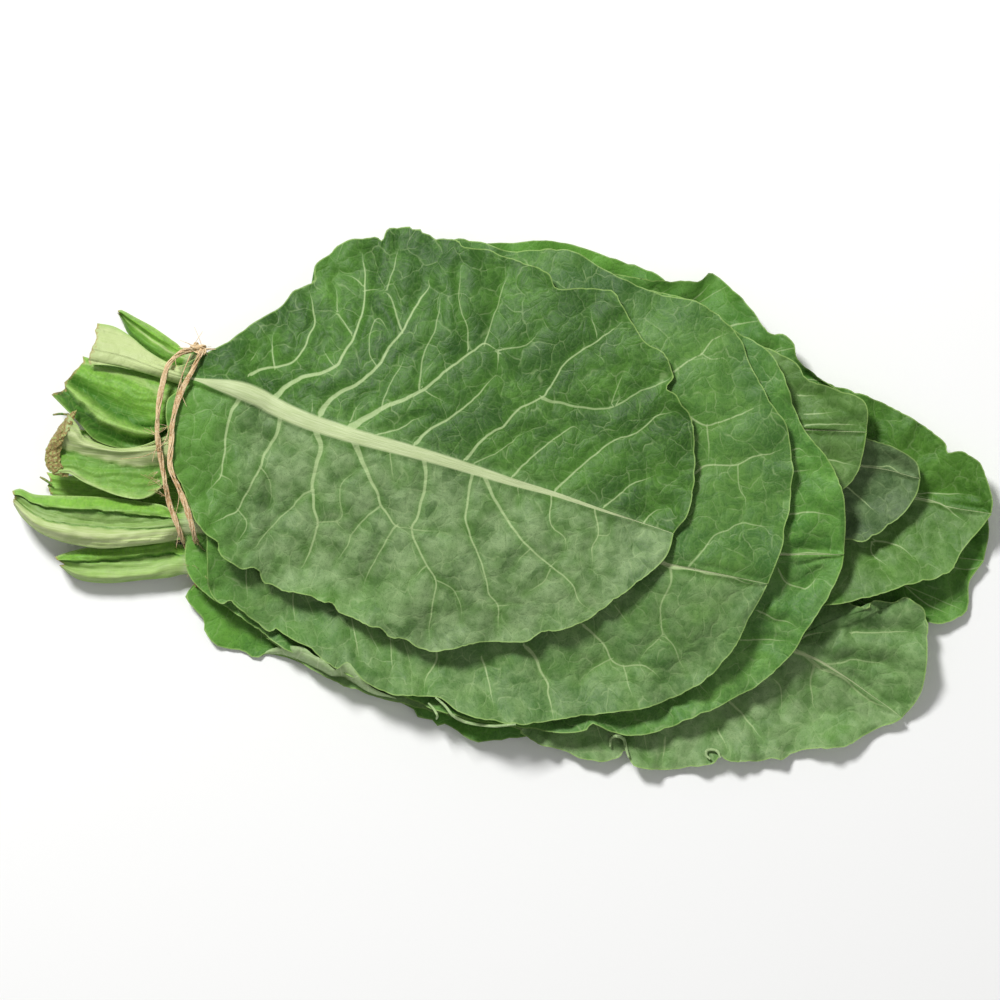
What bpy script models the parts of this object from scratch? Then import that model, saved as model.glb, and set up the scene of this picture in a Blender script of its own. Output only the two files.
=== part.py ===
"""Bunch of collard greens lying flat, its petioles tied with raffia.

Plan coordinates are millimetres seen from above, with the tie at the origin, +X towards the leaf
tips and +Z up. Each leaf grew as one piece, from the cut end of its petiole to the tip, and is one
thin closed solid. The leaves are laid from the bottom of the bunch to the top: each one drapes over
the pile below it, and no leaf touches another.
"""

import math

import bmesh
import bpy
import numpy as np

MM = 0.001

# Driving dimensions, in millimetres
BLADE_THICK = 0.9  # fleshy leaf blade
LEAF_GAP = 1.1  # air between two leaves
TABLE_GAP = 0.4  # clearance under a leaf that reaches the table
PRESS = 0.5  # the lowest leaf is pressed flat on the table by this much
BUNCH_CENTRE = (145.8, -21.4)  # middle of the bunch in the plan, which becomes the origin

# Raffia, in millimetres
RAFFIA_WIDTH = 3.0
RAFFIA_THICK = 1.4
RAFFIA_CLEAR = 1.6  # between the strand and the top of the petioles
SIDE_CLEAR = 3.2  # between the middle of the strand and the sides of the bunch
UNDER_TIE = 2.1  # the petioles lie this much higher than the raffia beneath them is thick
SECOND_WINDING_RISE = 0.5  # the second winding lies this much looser over the petioles
STRAND_MIDDLES = {"first": 1.15, "second": 1.35}  # heights of the two windings beneath the bunch
STRAND_SIDES = 6
OVER_POINTS = 30  # points of a winding over the bunch
UNDER_POINTS = 14
LOOP_SMOOTHINGS = 2
KNOT_SIZE = (9.0, 6.0, 5.0)
KNOT_LUMPS = 0.18  # how uneven the knot is
KNOT_POINT = 3  # the knot sits between these points of the two windings

# Shape of a leaf, in shares of its blade's length or of its half-width unless named otherwise
BLADE_END = 0.985  # the last row of the grid is just short of the tip
ROW_CROWDING = 0.3  # how much closer the rows stand near the tie and the tip
RIB_TAPER = 0.85  # power by which the midrib narrows towards the tip
RIB_DEPTH_TAPER = 1.5  # power by which it grows shallow
RIB_LEAST = 0.6  # mm, half-width of the rib at the tip
RIB_SHARE = 0.55  # most of a narrow leaf's half-width that its rib may take
RIB_RISE = 0.75  # height of the petiole above the blade, in shares of its depth below
RIB_SINKS_BY = 0.3  # above the blade the rib is low from here to the tip
RIB_RISE_LEAST = 0.12
PETIOLE_FLARE = 0.35  # the petiole is this much wider at its cut end
WING_WIDTHS = (2.0, 12.0)  # mm of blade beside the rib: the columns crowd on the rib past these
BLADE_STARTS = (0.05, 0.35)  # the waves and swells grow between these shares of the length
WAVES_START = 0.45  # the waved margin begins at this share of the half-width
WAVE_LEAN = 5.0  # radians by which a wave's crest runs ahead towards the margin
OTHER_SIDE = 1.9  # radians between the waves of the two margins
WINGS_END = (-0.45, -0.1)  # the folded wings of the petiole fade out here, in petiole lengths
BILLOW_SPACING = 105.0  # mm from one broad swell of a blade to the next

# Grid of a leaf, and of the height map that the pile is kept in
STEM_ROWS = 6
BLADE_ROWS = 22
SIDE_COLUMNS = 5
TIE_X = 4.0  # where the petiole leaves the tie
TIE_REACH = 25.0  # the raffia runs within this distance of the middle of the tie
CELL = 2.0
MAP_LOW = (-95.0, -165.0)
MAP_HIGH = (385.0, 125.0)
MAP_SPREAD = 2  # cells by which a resting leaf bridges the small hollows below it
LATTICE = 5  # each triangle is tested against the pile on this many steps a side
LIFT_PASSES = 12
NEAR_ENOUGH = 0.02  # a leaf may dip this much into the gap below it
LEVEL = 1e-6

# Each leaf, lowest first: points along its midrib, then along its left and right outline, all from
# the cut end to the tip. stem: half-width and half-depth of the petiole at the tie. slope: how
# steeply the leaf hangs where nothing carries it. ruffle: height and number of the waves along its
# margins. cup: how far the margins stand up. billow: height and place of the broad swells of the
# blade. folds: height and number of the folds in the wings that run down the petiole.
LEAVES = {
    "leaf_10": {
        "mid": [(-56, -13), (-42.5, -14.5), (-25, -14), (4, -13), (37.5, -14.5), (91, -13.5),
                (144.5, -11), (198, -9), (262, -8)],
        "left": [(-57.5, -8), (-42.5, -10), (-25, -9.5), (4, -9), (10.5, 0), (22, 13.5), (46.5, 38),
                 (73, 65), (100, 81.5), (131, 92.5), (148.5, 94), (162, 95), (175.5, 93.5),
                 (193.5, 87.5), (214, 80), (229, 65), (246.5, 42.5), (258, 20.5), (262, -8)],
        "right": [(-56, -18), (-42.5, -19), (-25, -18.5), (4, -17), (16, -22), (25, -34),
                  (26, -56), (14, -64), (5, -66), (6, -70), (11.5, -76), (19, -87), (35, -91.5),
                  (48, -90.5), (56, -94.5), (73, -101.5), (88, -108.5), (103, -112),
                  (108.5, -118.5), (124.5, -125), (135.5, -129.5), (141.5, -127.5), (162, -124.5),
                  (189, -115.5), (215.5, -100), (242.5, -69), (255.5, -37.5), (262, -8)],
        "stem": (4.5, 3.6), "slope": 0.12, "ruffle": (3.4, 6), "cup": 0.8, "billow": (0, 0),
        "folds": (0, 1),
    },
    "leaf_7": {
        "mid": [(-48, -25), (-24.5, -28), (4.5, -28), (100, -29.5), (189, -34), (277.5, -40),
                (322, -43), (360, -47.5)],
        "left": [(-47, -21), (-24.5, -24), (4.5, -24), (100, -20.5), (153, 0), (206.5, 11.5),
                 (260, 11.5), (304.5, 4.5), (340, -6.5), (357.5, -20), (362, -33), (360, -47.5)],
        "right": [(-48.5, -29), (-24.5, -32), (4.5, -32), (100, -40), (153, -60.5), (206.5, -78.5),
                  (260, -85.5), (304.5, -82), (324.5, -76.5), (334, -75), (340, -75.5), (348, -73),
                  (353, -68), (353.5, -57), (360, -47.5)],
        "stem": (4.4, 3.6), "slope": 0.3, "ruffle": (4.0, 7), "cup": 1.5, "billow": (1.5, 0.2),
        "folds": (0, 1),
    },
    "leaf_8": {
        "mid": [(-51, -48), (-42.5, -51), (-29, -52), (-11, -51), (5.5, -49), (55.5, -58),
                (122, -67), (188.5, -74), (233, -79.5), (276.5, -88), (295.5, -97.5),
                (310, -107.5), (328.5, -116)],
        "left": [(-52.5, -46), (-46.5, -43.5), (-38, -41.5), (-20, -39.5), (-6.5, -40.5),
                 (5.5, -45), (55.5, -40), (109, -33), (162, -28.5), (215.5, -33), (260, -46.5),
                 (286.5, -60), (306, -68.5), (310, -65), (319, -66), (325, -63.5), (333.5, -71.5),
                 (333.5, -91), (331.5, -104), (328.5, -116)],
        "right": [(-49.5, -51), (-46, -54), (-40.5, -56.5), (-29, -57.5), (-13.5, -56),
                  (-2.5, -55), (5.5, -53.5), (20, -56), (34, -76), (69, -100), (113, -114), (151.5, -122),
                  (169, -130.5), (182, -136), (197, -136), (199, -131), (206, -139), (220, -141.5),
                  (240.5, -139), (245.5, -136.5), (255.5, -138), (270.5, -135.5), (290.5, -130.5),
                  (306, -126.5), (324, -118.5), (328.5, -116)],
        "stem": (5.0, 4.6), "slope": 0.32, "ruffle": (4.4, 8), "cup": 2.0, "billow": (1.8, 0.55),
        "folds": (2.5, 1),
    },
    "leaf_6": {
        "mid": [(-43.5, 7), (-24, 3.5), (4.5, 1.5), (100, -6.5), (188.5, -10), (277.5, -13),
                (330.5, -19.5), (344, -23.5), (362.5, -26.5)],
        "left": [(-42.5, 11), (-24, 7.5), (4.5, 5.5), (100, 2.5), (144.5, 15.5), (197.5, 31),
                 (250.5, 37), (277.5, 34.5), (305, 26.5), (322.5, 18.5), (333.5, 12), (342.5, 4.5),
                 (343, 0.5), (349.5, 1), (357, -3.5), (360, -10.5), (363, -20), (362.5, -26.5)],
        "right": [(-44.5, 2.5), (-24, -1), (4.5, -2.5), (100, -16), (144.5, -37.5), (197.5, -59),
                  (250.5, -68.5), (288, -67), (297, -66), (309.5, -63), (324.5, -58), (342.5, -53),
                  (349, -43.5), (357, -34), (362.5, -26.5)],
        "stem": (4.4, 3.6), "slope": 0.3, "ruffle": (3.6, 7), "cup": 3.0, "billow": (1.8, 0.8),
        "folds": (0, 1),
    },
    "leaf_9": {
        "mid": [(-25, 62.5), (-19.5, 57.5), (-8, 49.5), (5.5, 42.5), (38, 35), (82.5, 36),
                (144.5, 41), (197.5, 43), (241.5, 39.5), (277, 32.5), (300, 25.5)],
        "left": [(-25.5, 64), (-23.5, 64), (-17, 60.5), (-10.5, 57), (-4.5, 53), (0.5, 49.5),
                 (7.5, 46), (38, 45.5), (73.5, 60), (109, 73), (153, 82), (188.5, 81), (213.5, 77),
                 (232.5, 77), (238, 80.5), (245, 75.5), (252.5, 68.5), (258, 61.5), (264, 53.5),
                 (270.5, 53), (275, 48.5), (277, 41), (290, 31), (300, 25.5)],
        "right": [(-26, 63), (-24, 60), (-21, 53.5), (-14.5, 46.5), (-7, 41.5), (-0.5, 39),
                  (6.5, 38), (38, 28), (73.5, 15.5), (109, 2.5), (153, -6.5), (188.5, -8.5),
                  (232.5, -6.5), (268, 2.5), (290, 11), (300, 25.5)],
        "stem": (3.6, 3.2), "slope": 0.36, "ruffle": (4.0, 8), "cup": 1.5, "billow": (1.8, 0.35),
        "folds": (2.5, 1),
    },
    "leaf_5": {
        "mid": [(-43.5, 23.5), (-28, 20), (-10, 17.5), (5.5, 16.5), (78, 8.5), (171, -0.5),
                (232.5, -4), (304, -5.5), (331, -11)],
        "left": [(-43, 28), (-28, 24.5), (-10, 22), (5.5, 20.5), (78, 13.5), (135.5, 17.5),
                 (188.5, 28), (232.5, 29), (276.5, 19), (306.5, 7), (319, 3), (329, -3.5),
                 (331, -11)],
        "right": [(-44.5, 19), (-28, 15.5), (-10, 13.5), (5.5, 12.5), (78, 2.5), (135.5, -15.5),
                  (188.5, -35), (232.5, -44), (276.5, -44.5), (297, -38), (302.5, -39), (309, -37),
                  (322, -27.5), (329, -18.5), (331, -11)],
        "stem": (4.4, 3.6), "slope": 0.36, "ruffle": (2.4, 5), "cup": 1.5, "billow": (1.2, 0.6),
        "folds": (0, 1),
    },
    "leaf_4": {
        "mid": [(-47, 31), (-36.5, 26), (-23, 20.5), (-10, 17), (5.5, 16), (56, 13.5),
                (122.5, 10), (188.5, 10), (259, 11), (306.5, 9.5)],
        "left": [(-40, 43), (-32, 41), (-21, 39), (-11, 35.5), (-3, 28), (5.5, 20.5), (56, 37.5),
                 (100, 57.5), (144.5, 68.5), (188.5, 68.5), (232.5, 58.5), (259, 48.5),
                 (274.5, 40.5), (281.5, 32.5), (297, 27), (304, 24.5), (307, 19), (306.5, 9.5)],
        "right": [(-53, 25.5), (-47, 19), (-41, 12.5), (-35.5, 6.5), (-26.5, 3), (-16.5, 2),
                  (-8.5, 3.5), (-2, 9.5), (5.5, 12), (56, -11), (100, -33), (144.5, -46),
                  (188.5, -50.5), (232.5, -46), (267.5, -35), (285.5, -25), (296.5, -15.5),
                  (303, -7.5), (306.5, 9.5)],
        "stem": (4.8, 4.2), "slope": 0.42, "ruffle": (3.4, 6), "cup": 1.0, "billow": (1.5, 0.1),
        "folds": (4.0, 1),
    },
    "leaf_3": {
        "mid": [(-71, -19.5), (-58, -27.5), (-40.5, -31), (-23, -32), (-5.5, -31), (5.5, -30.5),
                (56.5, -34), (122.5, -39.5), (188.5, -43), (241, -44.5), (296.5, -44.5)],
        "left": [(-71.5, -16.5), (-68, -15.5), (-61.5, -18), (-49.5, -18.5), (-34, -19),
                 (-18.5, -20.5), (-5.5, -22.5), (8, -25), (38.5, 2), (74, 31), (113.5, 53),
                 (162, 68), (206, 72.5), (232.5, 66), (243, 57), (256.5, 49.5), (267, 39.5),
                 (275, 18), (279, 10), (289, -2.5), (295, -15.5), (297, -28.5), (296.5, -44.5)],
        "right": [(-71, -22.5), (-67, -28.5), (-60, -34.5), (-51, -38.5), (-42.5, -40.5),
                  (-31.5, -42), (-18.5, -41), (-5.5, -39.5), (6, -37.5), (14, -40), (15.5, -47),
                  (17.5, -56), (24, -64.5), (34.5, -76), (49.5, -86.5), (67.5, -93.5),
                  (88.5, -102.5), (104.5, -108.5), (115, -113), (131, -117.5), (150.5, -120.5),
                  (170.5, -123.5), (182.5, -122.5), (185.5, -119.5), (198.5, -124.5),
                  (213.5, -123.5), (228, -117.5), (241.5, -112), (259.5, -102), (274, -88),
                  (279, -79), (289, -64), (295, -51.5), (296.5, -44.5)],
        "stem": (5.6, 5.0), "slope": 0.42, "ruffle": (3.6, 7), "cup": 1.2, "billow": (1.8, 0.45),
        "folds": (3.0, 1),
    },
    "leaf_2": {
        "mid": [(-51.5, 4), (-40, 1), (-22.5, -0.5), (-5, -0.5), (6, -2), (56.5, -10),
                (122.5, -24), (170.5, -38), (217, -48.5), (241, -52.5), (270, -58.5)],
        "left": [(-46.5, 18), (-42, 12.5), (-39.5, 7.5), (-34, 5), (-25, 2.5), (-14, 1.5),
                 (-3, 2), (6.5, 3), (14.5, 10), (25.5, 24), (47.5, 50.5), (69.5, 72.5), (96, 88),
                 (124, 95), (137, 93.5), (148.5, 90), (175, 90), (191.5, 81), (209.5, 72.5),
                 (220, 69.5), (235, 65), (249.5, 52), (254, 40.5), (261, 27.5), (269, 15),
                 (273, -7.5), (271, -31), (270, -58.5)],
        "right": [(-57, -3), (-53.5, -8.5), (-46.5, -8.5), (-39.5, -12.5), (-31.5, -16),
                  (-22.5, -19), (-14, -20), (-7, -17), (-1.5, -10), (6.5, -7.5), (11, -13.5),
                  (14.5, -28.5), (17, -42.5), (18.5, -55), (25.5, -64.5), (45.5, -78),
                  (57.5, -85.5), (74, -95), (84.5, -100.5), (95.5, -106), (115, -107),
                  (123, -113.5), (139.5, -117.5), (155.5, -119.5), (169, -117.5), (196.5, -114),
                  (211, -112), (228, -104.5), (237.5, -98), (247.5, -86), (254, -72.5),
                  (261, -62), (270, -58.5)],
        "stem": (4.6, 4.2), "slope": 0.45, "ruffle": (3.4, 7), "cup": 0.8, "billow": (1.8, 0.9),
        "folds": (2.5, 1),
    },
    "leaf_1": {
        "mid": [(-35.5, 48.5), (-20, 44.5), (-5, 38.5), (3, 35.5), (13, 31), (30, 26.5),
                (45.5, 22), (65.5, 15), (84, 8), (107.5, 1), (130, -4.5), (149.5, -10.5),
                (169, -16), (188.5, -23.5), (206, -29), (225, -33)],
        "left": [(-34, 58), (-26.5, 56.5), (-19, 52), (-11, 45.5), (-2.5, 40.5), (3, 39),
                 (8.5, 41.5), (16.5, 45.5), (25, 50), (34, 57), (47.5, 65.5), (53.5, 72.5),
                 (62.5, 76.5), (62.5, 83.5), (71, 91), (77, 94), (91.5, 95), (95.5, 99.5),
                 (108.5, 99.5), (116.5, 94), (127, 91), (141.5, 89.5), (151.5, 85.5), (163, 80.5),
                 (168, 73.5), (179, 72.5), (191.5, 72), (195.5, 69), (201.5, 61), (209, 48.5),
                 (216, 44), (219.5, 37), (220, 29.5), (227.5, 17), (230, 5), (230, -9.5),
                 (227.5, -21), (225, -33)],
        "right": [(-37, 39.5), (-27.5, 39), (-18, 37), (-9, 34.5), (-1.5, 32), (5.5, 29.5),
                  (7.5, 25), (5.5, 20.5), (3.5, 13), (2, 5.5), (0.5, -0.5), (1, -6), (3.5, -12),
                  (5.5, -17), (8, -23.5), (10.5, -29.5), (13, -34.5), (20, -38), (22, -45),
                  (30, -50.5), (37.5, -49.5), (41.5, -57.5), (49.5, -60), (61.5, -62.5),
                  (71, -65.5), (75, -71), (92.5, -76.5), (103.5, -82), (117, -87.5), (127.5, -85),
                  (137.5, -83), (155.5, -83), (163, -78.5), (173, -77.5), (184, -72.5),
                  (194.5, -64.5), (206, -56), (217, -45.5), (220, -36), (225, -33)],
        "stem": (5.4, 4.4), "slope": 0.45, "ruffle": (2.8, 8), "cup": 0.5, "billow": (1.8, 0.25),
        "folds": (0, 1),
    },
}

# Where the two windings of the raffia run over the bunch, from its upper side to its lower side
WINDINGS = {
    "first": [(8, 56), (6, 49), (1.5, 43.5), (-2.5, 37.5), (-5, 29.5), (-7, 20), (-7, 10), (-7, 0),
              (-5.5, -10), (-3, -20), (-0.5, -28.5), (2.5, -39), (4.5, -48), (5, -57)],
    "second": [(12.5, 56), (11.5, 48), (9.5, 39.5), (6.5, 31.5), (3, 23.5), (0.5, 15.5),
               (-2, 7.5), (-3, -0.5), (-2.5, -8.5), (0.5, -17), (3.5, -25.5), (6.5, -33.5),
               (8.5, -42), (9, -50), (9, -57)],
}

COLOURS = {
    "leaf_1": (0.085, 0.19, 0.045), "leaf_2": (0.09, 0.2, 0.055), "leaf_3": (0.065, 0.17, 0.035),
    "leaf_4": (0.08, 0.19, 0.04), "leaf_5": (0.06, 0.12, 0.055), "leaf_6": (0.1, 0.22, 0.04),
    "leaf_7": (0.075, 0.17, 0.035), "leaf_8": (0.075, 0.16, 0.045), "leaf_9": (0.1, 0.24, 0.035),
    "leaf_10": (0.12, 0.26, 0.04), "raffia_tie": (0.52, 0.36, 0.19),
}


def clear_scene():
    for thing in list(bpy.data.objects):
        bpy.data.objects.remove(thing, do_unlink=True)


def smooth_line(points, steps=8):
    """Catmull-Rom curve through the points."""
    points = np.asarray(points, float)
    padded = np.vstack([2 * points[0] - points[1], points, 2 * points[-1] - points[-2]])
    u = np.arange(steps)[:, None] / steps
    pieces = []
    for a, b, c, d in zip(padded[:-3], padded[1:-2], padded[2:-1], padded[3:]):
        pieces.append(0.5 * (2 * b + (c - a) * u + (2 * a - 5 * b + 4 * c - d) * u**2
                             + (3 * b - a - 3 * c + d) * u**3))
    return np.vstack(pieces + [points[-1:]])


def lengths_along(line):
    return np.concatenate([[0.0], np.cumsum(np.linalg.norm(np.diff(line, axis=0), axis=1))])


def at_lengths(line, wanted):
    walked = lengths_along(line)
    return np.column_stack([np.interp(wanted, walked, line[:, k]) for k in range(line.shape[1])])


def split_at_tie(line):
    """Length of the line up to where it passes the tie, and its whole length."""
    walked = lengths_along(line)
    return walked[np.argmax(line[:, 0] > TIE_X)], walked[-1]


def row_points(points, stem_shares, blade_shares):
    """Points on a smooth line at the same shares of the petiole and of the blade."""
    line = smooth_line(points)
    tie, whole = split_at_tie(line)
    return at_lengths(line, np.concatenate([tie * stem_shares, tie + (whole - tie) * blade_shares]))


def smoothstep(value, low, high):
    u = np.clip((value - low) / (high - low), 0, 1)
    return u * u * (3 - 2 * u)


def leaf_grid(leaf):
    """Plan of the leaf's grid: points, distance from the midrib, share of the half-width, row."""
    stem_shares = np.arange(STEM_ROWS) / STEM_ROWS
    even = np.arange(BLADE_ROWS + 1) / BLADE_ROWS
    crowded = 0.5 * (1 - np.cos(math.pi * even))
    blade_shares = BLADE_END * ((1 - ROW_CROWDING) * even + ROW_CROWDING * crowded)
    mid = row_points(leaf["mid"], stem_shares, blade_shares)
    along = np.concatenate([stem_shares - 1, blade_shares])
    flare = 1 - PETIOLE_FLARE * along
    rib = leaf["stem"][0] * np.where(along < 0, flare, (1 - np.clip(along, 0, 1)) ** RIB_TAPER)
    plan, off, share = [], [], []
    for side in ("left", "right"):
        edge = row_points(leaf[side], stem_shares, blade_shares)
        half = np.linalg.norm(edge - mid, axis=1)
        inner = np.minimum(rib, RIB_SHARE * half)
        winged = smoothstep(half - rib, *WING_WIDTHS)[:, None]
        k = np.arange(1, SIDE_COLUMNS + 1)
        even_off = half[:, None] * k / SIDE_COLUMNS
        rib_off = inner[:, None] + (half - inner)[:, None] * (k - 1) / (SIDE_COLUMNS - 1)
        distance = even_off * (1 - winged) + rib_off * winged
        t = distance / half[:, None]
        plan.append(mid[:, None] + (edge - mid)[:, None] * t[..., None])
        off.append(distance)
        share.append(t)
    plan = np.concatenate([plan[0][:, ::-1], mid[:, None], plan[1]], axis=1)
    zero = np.zeros((len(mid), 1))
    off = np.concatenate([off[0][:, ::-1], zero, off[1]], axis=1)
    share = np.concatenate([share[0][:, ::-1], zero, -share[1]], axis=1)
    return plan, off, share, along[:, None], np.maximum(rib, RIB_LEAST)[:, None]


def triangles(rows, columns):
    """Both faces of a leaf use this same split of the grid."""
    index = np.arange(rows * columns).reshape(rows, columns)
    a, b = index[:-1, :-1].ravel(), index[:-1, 1:].ravel()
    c, d = index[1:, 1:].ravel(), index[1:, :-1].ravel()
    left = (np.arange(len(a)) % (columns - 1)) < (columns - 1) // 2
    first = np.where(left[:, None], np.column_stack([a, b, c]), np.column_stack([a, b, d]))
    second = np.where(left[:, None], np.column_stack([a, c, d]), np.column_stack([b, c, d]))
    return np.vstack([first, second])


def lattice():
    """Shares of the three corners, for points spread over a triangle."""
    steps = [(i, j) for i in range(LATTICE + 1) for j in range(LATTICE + 1 - i)]
    return np.array([(i, j, LATTICE - i - j) for i, j in steps]) / LATTICE


def spread(field, reach, chosen):
    """Each cell takes the chosen value, such as the highest, of those within reach cells."""
    for axis in (0, 1):
        padded = np.pad(field, [(reach, reach) if k == axis else (0, 0) for k in (0, 1)], "edge")
        views = [np.take(padded, range(k, k + field.shape[axis]), axis) for k in range(2 * reach + 1)]
        field = chosen(views, axis=0)
    return field


def sloped(field, slope):
    """Raises the field until it falls away from each high place no steeper than the slope."""
    for _ in range(sum(field.shape)):
        grown = field.copy()
        for dx, dy in ((1, 0), (0, 1), (1, 1), (1, -1)):
            drop = slope * CELL * math.hypot(dx, dy)
            for sx, sy in ((dx, dy), (-dx, -dy)):
                moved = np.full_like(field, -np.inf)
                to_x, from_x = shifted(sx, field.shape[0])
                to_y, from_y = shifted(sy, field.shape[1])
                moved[to_x, to_y] = field[from_x, from_y]
                grown = np.maximum(grown, moved - drop)
        if np.abs(grown - field).max() < LEVEL:
            break
        field = grown
    return field


def shifted(by, size):
    if by >= 0:
        return slice(by, size), slice(0, size - by)
    return slice(0, size + by), slice(-by, size)


class Pile:
    """Height map of everything laid so far."""

    def __init__(self):
        size = [int(round((high - low) / CELL)) + 1 for low, high in zip(MAP_LOW, MAP_HIGH)]
        self.height = np.full(size, TABLE_GAP - LEAF_GAP)
        self.at_tie = []

    def cells(self, plan):
        return tuple(np.rint((plan[..., k] - MAP_LOW[k]) / CELL).astype(int) for k in (0, 1))

    def read(self, field, plan):
        """The field between cells, in straight lines."""
        place = [(plan[..., k] - MAP_LOW[k]) / CELL for k in (0, 1)]
        low = [np.floor(p).astype(int) for p in place]
        fx, fy = place[0] - low[0], place[1] - low[1]
        x, y = low
        return (field[x, y] * (1 - fx) * (1 - fy) + field[x + 1, y] * fx * (1 - fy)
                + field[x, y + 1] * (1 - fx) * fy + field[x + 1, y + 1] * fx * fy)

    def raise_to(self, plan, z):
        np.maximum.at(self.height, self.cells(plan), z)

    def drape(self, plan, z_need, slope):
        """Height map of a sheet that lies over the pile, with room for what hangs under it."""
        below = np.zeros_like(self.height)
        np.maximum.at(below, self.cells(plan), z_need)
        need = self.height + LEAF_GAP + spread(below, 1, np.max)
        return spread(sloped(spread(need, MAP_SPREAD, np.max), slope), MAP_SPREAD, np.mean)


def raise_clear(pile, plan, base, depth, faces):
    """Lifts the leaf where a flat triangle of its underside would come too near the pile."""
    shares = lattice()
    corners = plan.reshape(-1, 2)[faces]
    spots = np.einsum("sk,fkc->fsc", shares, corners)
    floor = spread(pile.height, 1, np.max)[pile.cells(spots)] + LEAF_GAP
    for _ in range(LIFT_PASSES):
        under = (base - depth).ravel()[faces]
        short = (floor - np.einsum("sk,fk->fs", shares, under)).max(axis=1)
        if short.max() < NEAR_ENOUGH:
            break
        lift = np.zeros(base.size)
        np.maximum.at(lift, faces.ravel(), np.repeat(np.maximum(short, 0), 3))
        base = base + lift.reshape(base.shape)
    return base


def own_shape(leaf, plan, share, along):
    """How far each point stands above the drape: waved margins, swells of the blade, wings."""
    t = np.abs(share)
    side = np.where(share < 0, OTHER_SIDE, 0.0)
    blade = smoothstep(along, *BLADE_STARTS)
    ruffle, waves = leaf["ruffle"]
    wave = 0.5 + 0.5 * np.sin(2 * math.pi * waves * along + side + WAVE_LEAN * t)
    lift = ruffle * wave * smoothstep(t, WAVES_START, 1) * blade + leaf["cup"] * t**2 * blade
    swell, place = leaf["billow"]
    x, y = (2 * math.pi * (plan[..., k] / BILLOW_SPACING + place) for k in (0, 1))
    lift += swell * (0.5 + 0.25 * np.sin(x + 0.7 * np.sin(y)) + 0.25 * np.sin(1.6 * y - x)) * blade
    height, folds = leaf["folds"]
    wing = 1 - smoothstep(along, *WINGS_END)
    return lift + height * 0.5 * (1 - np.cos(2 * math.pi * folds * t)) * wing


def lay_leaf(leaf, pile, pressed):
    """Returns the leaf's plan, the heights of its two faces and its triangles, and adds it to the
    pile. The pressed leaf is flat where it meets the table."""
    plan, off, share, along, rib = leaf_grid(leaf)
    rows, columns = off.shape
    faces = triangles(rows, columns)
    round_off = np.sqrt(np.clip(1 - (off / rib) ** 2, 0, 1))
    taper = np.where(along < 0, 1.0, (1 - np.clip(along, 0, 1)) ** RIB_DEPTH_TAPER)
    depth = leaf["stem"][1] * taper * round_off
    rise = RIB_RISE * np.clip(1 - along / RIB_SINKS_BY, RIB_RISE_LEAST, 1) * depth
    sheet = pile.drape(plan, depth, leaf["slope"])
    base = pile.read(sheet, plan) + own_shape(leaf, plan, share, along)
    base = raise_clear(pile, plan, base, depth, faces)
    bottom, top = base - depth, base + BLADE_THICK + rise
    if pressed:
        sink = bottom.min() + PRESS
        bottom = np.maximum(bottom - sink, 0)
        top = np.maximum(top - sink, bottom + BLADE_THICK)
    spots = np.einsum("sk,fkc->fsc", lattice(), plan.reshape(-1, 2)[faces])
    heights = np.einsum("sk,fk->fs", lattice(), top.ravel()[faces])
    pile.raise_to(spots, heights)
    near = np.abs(spots[..., 0]) < TIE_REACH
    pile.at_tie.append(np.column_stack([spots[near], heights[near]]))
    return plan, bottom, top, faces


def leaf_mesh(name, plan, bottom, top, faces):
    rows, columns = bottom.shape
    count = rows * columns
    points = [np.column_stack([plan.reshape(-1, 2), z.ravel()]) for z in (top, bottom)]
    index = np.arange(count).reshape(rows, columns)
    rim = np.concatenate([index[0, :-1], index[:-1, -1], index[-1, :0:-1], index[:0:-1, 0]])
    after = np.roll(rim, -1)
    walls = np.vstack([np.column_stack([rim, after, after + count]),
                       np.column_stack([rim, after + count, rim + count])])
    centre = np.array([*BUNCH_CENTRE, 0.0])
    mesh = bpy.data.meshes.new(name)
    every = np.vstack([faces[:, ::-1], faces + count, walls])
    mesh.from_pydata(((np.vstack(points) - centre) * MM).tolist(), [], every.tolist())
    mesh.validate()
    face_out(mesh)
    return mesh


def face_out(mesh):
    work = bmesh.new()
    work.from_mesh(mesh)
    bmesh.ops.recalc_face_normals(work, faces=work.faces)
    work.to_mesh(mesh)
    work.free()


def material(name, roughness):
    made = bpy.data.materials.new(name)
    made.use_nodes = True
    shader = made.node_tree.nodes["Principled BSDF"]
    shader.inputs["Base Color"].default_value = (*COLOURS[name], 1)
    shader.inputs["Roughness"].default_value = roughness
    made.diffuse_color = (*COLOURS[name], 1)
    return made


def add_object(name, mesh, roughness):
    thing = bpy.data.objects.new(name, mesh)
    bpy.context.scene.collection.objects.link(thing)
    mesh.materials.append(material(name, roughness))
    mesh.shade_smooth()
    mesh.set_sharp_from_angle(angle=math.radians(50))
    return thing


def upper_hull(points):
    """Convex hull of the top side, from left to right."""
    hull = []
    for p in sorted(map(tuple, points)):
        while len(hull) > 1:
            (ax, ay), (bx, by) = hull[-2:]
            if (bx - ax) * (p[1] - ay) - (by - ay) * (p[0] - ax) < 0:
                break
            hull.pop()
        hull.append(p)
    return np.array(hull)


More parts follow.
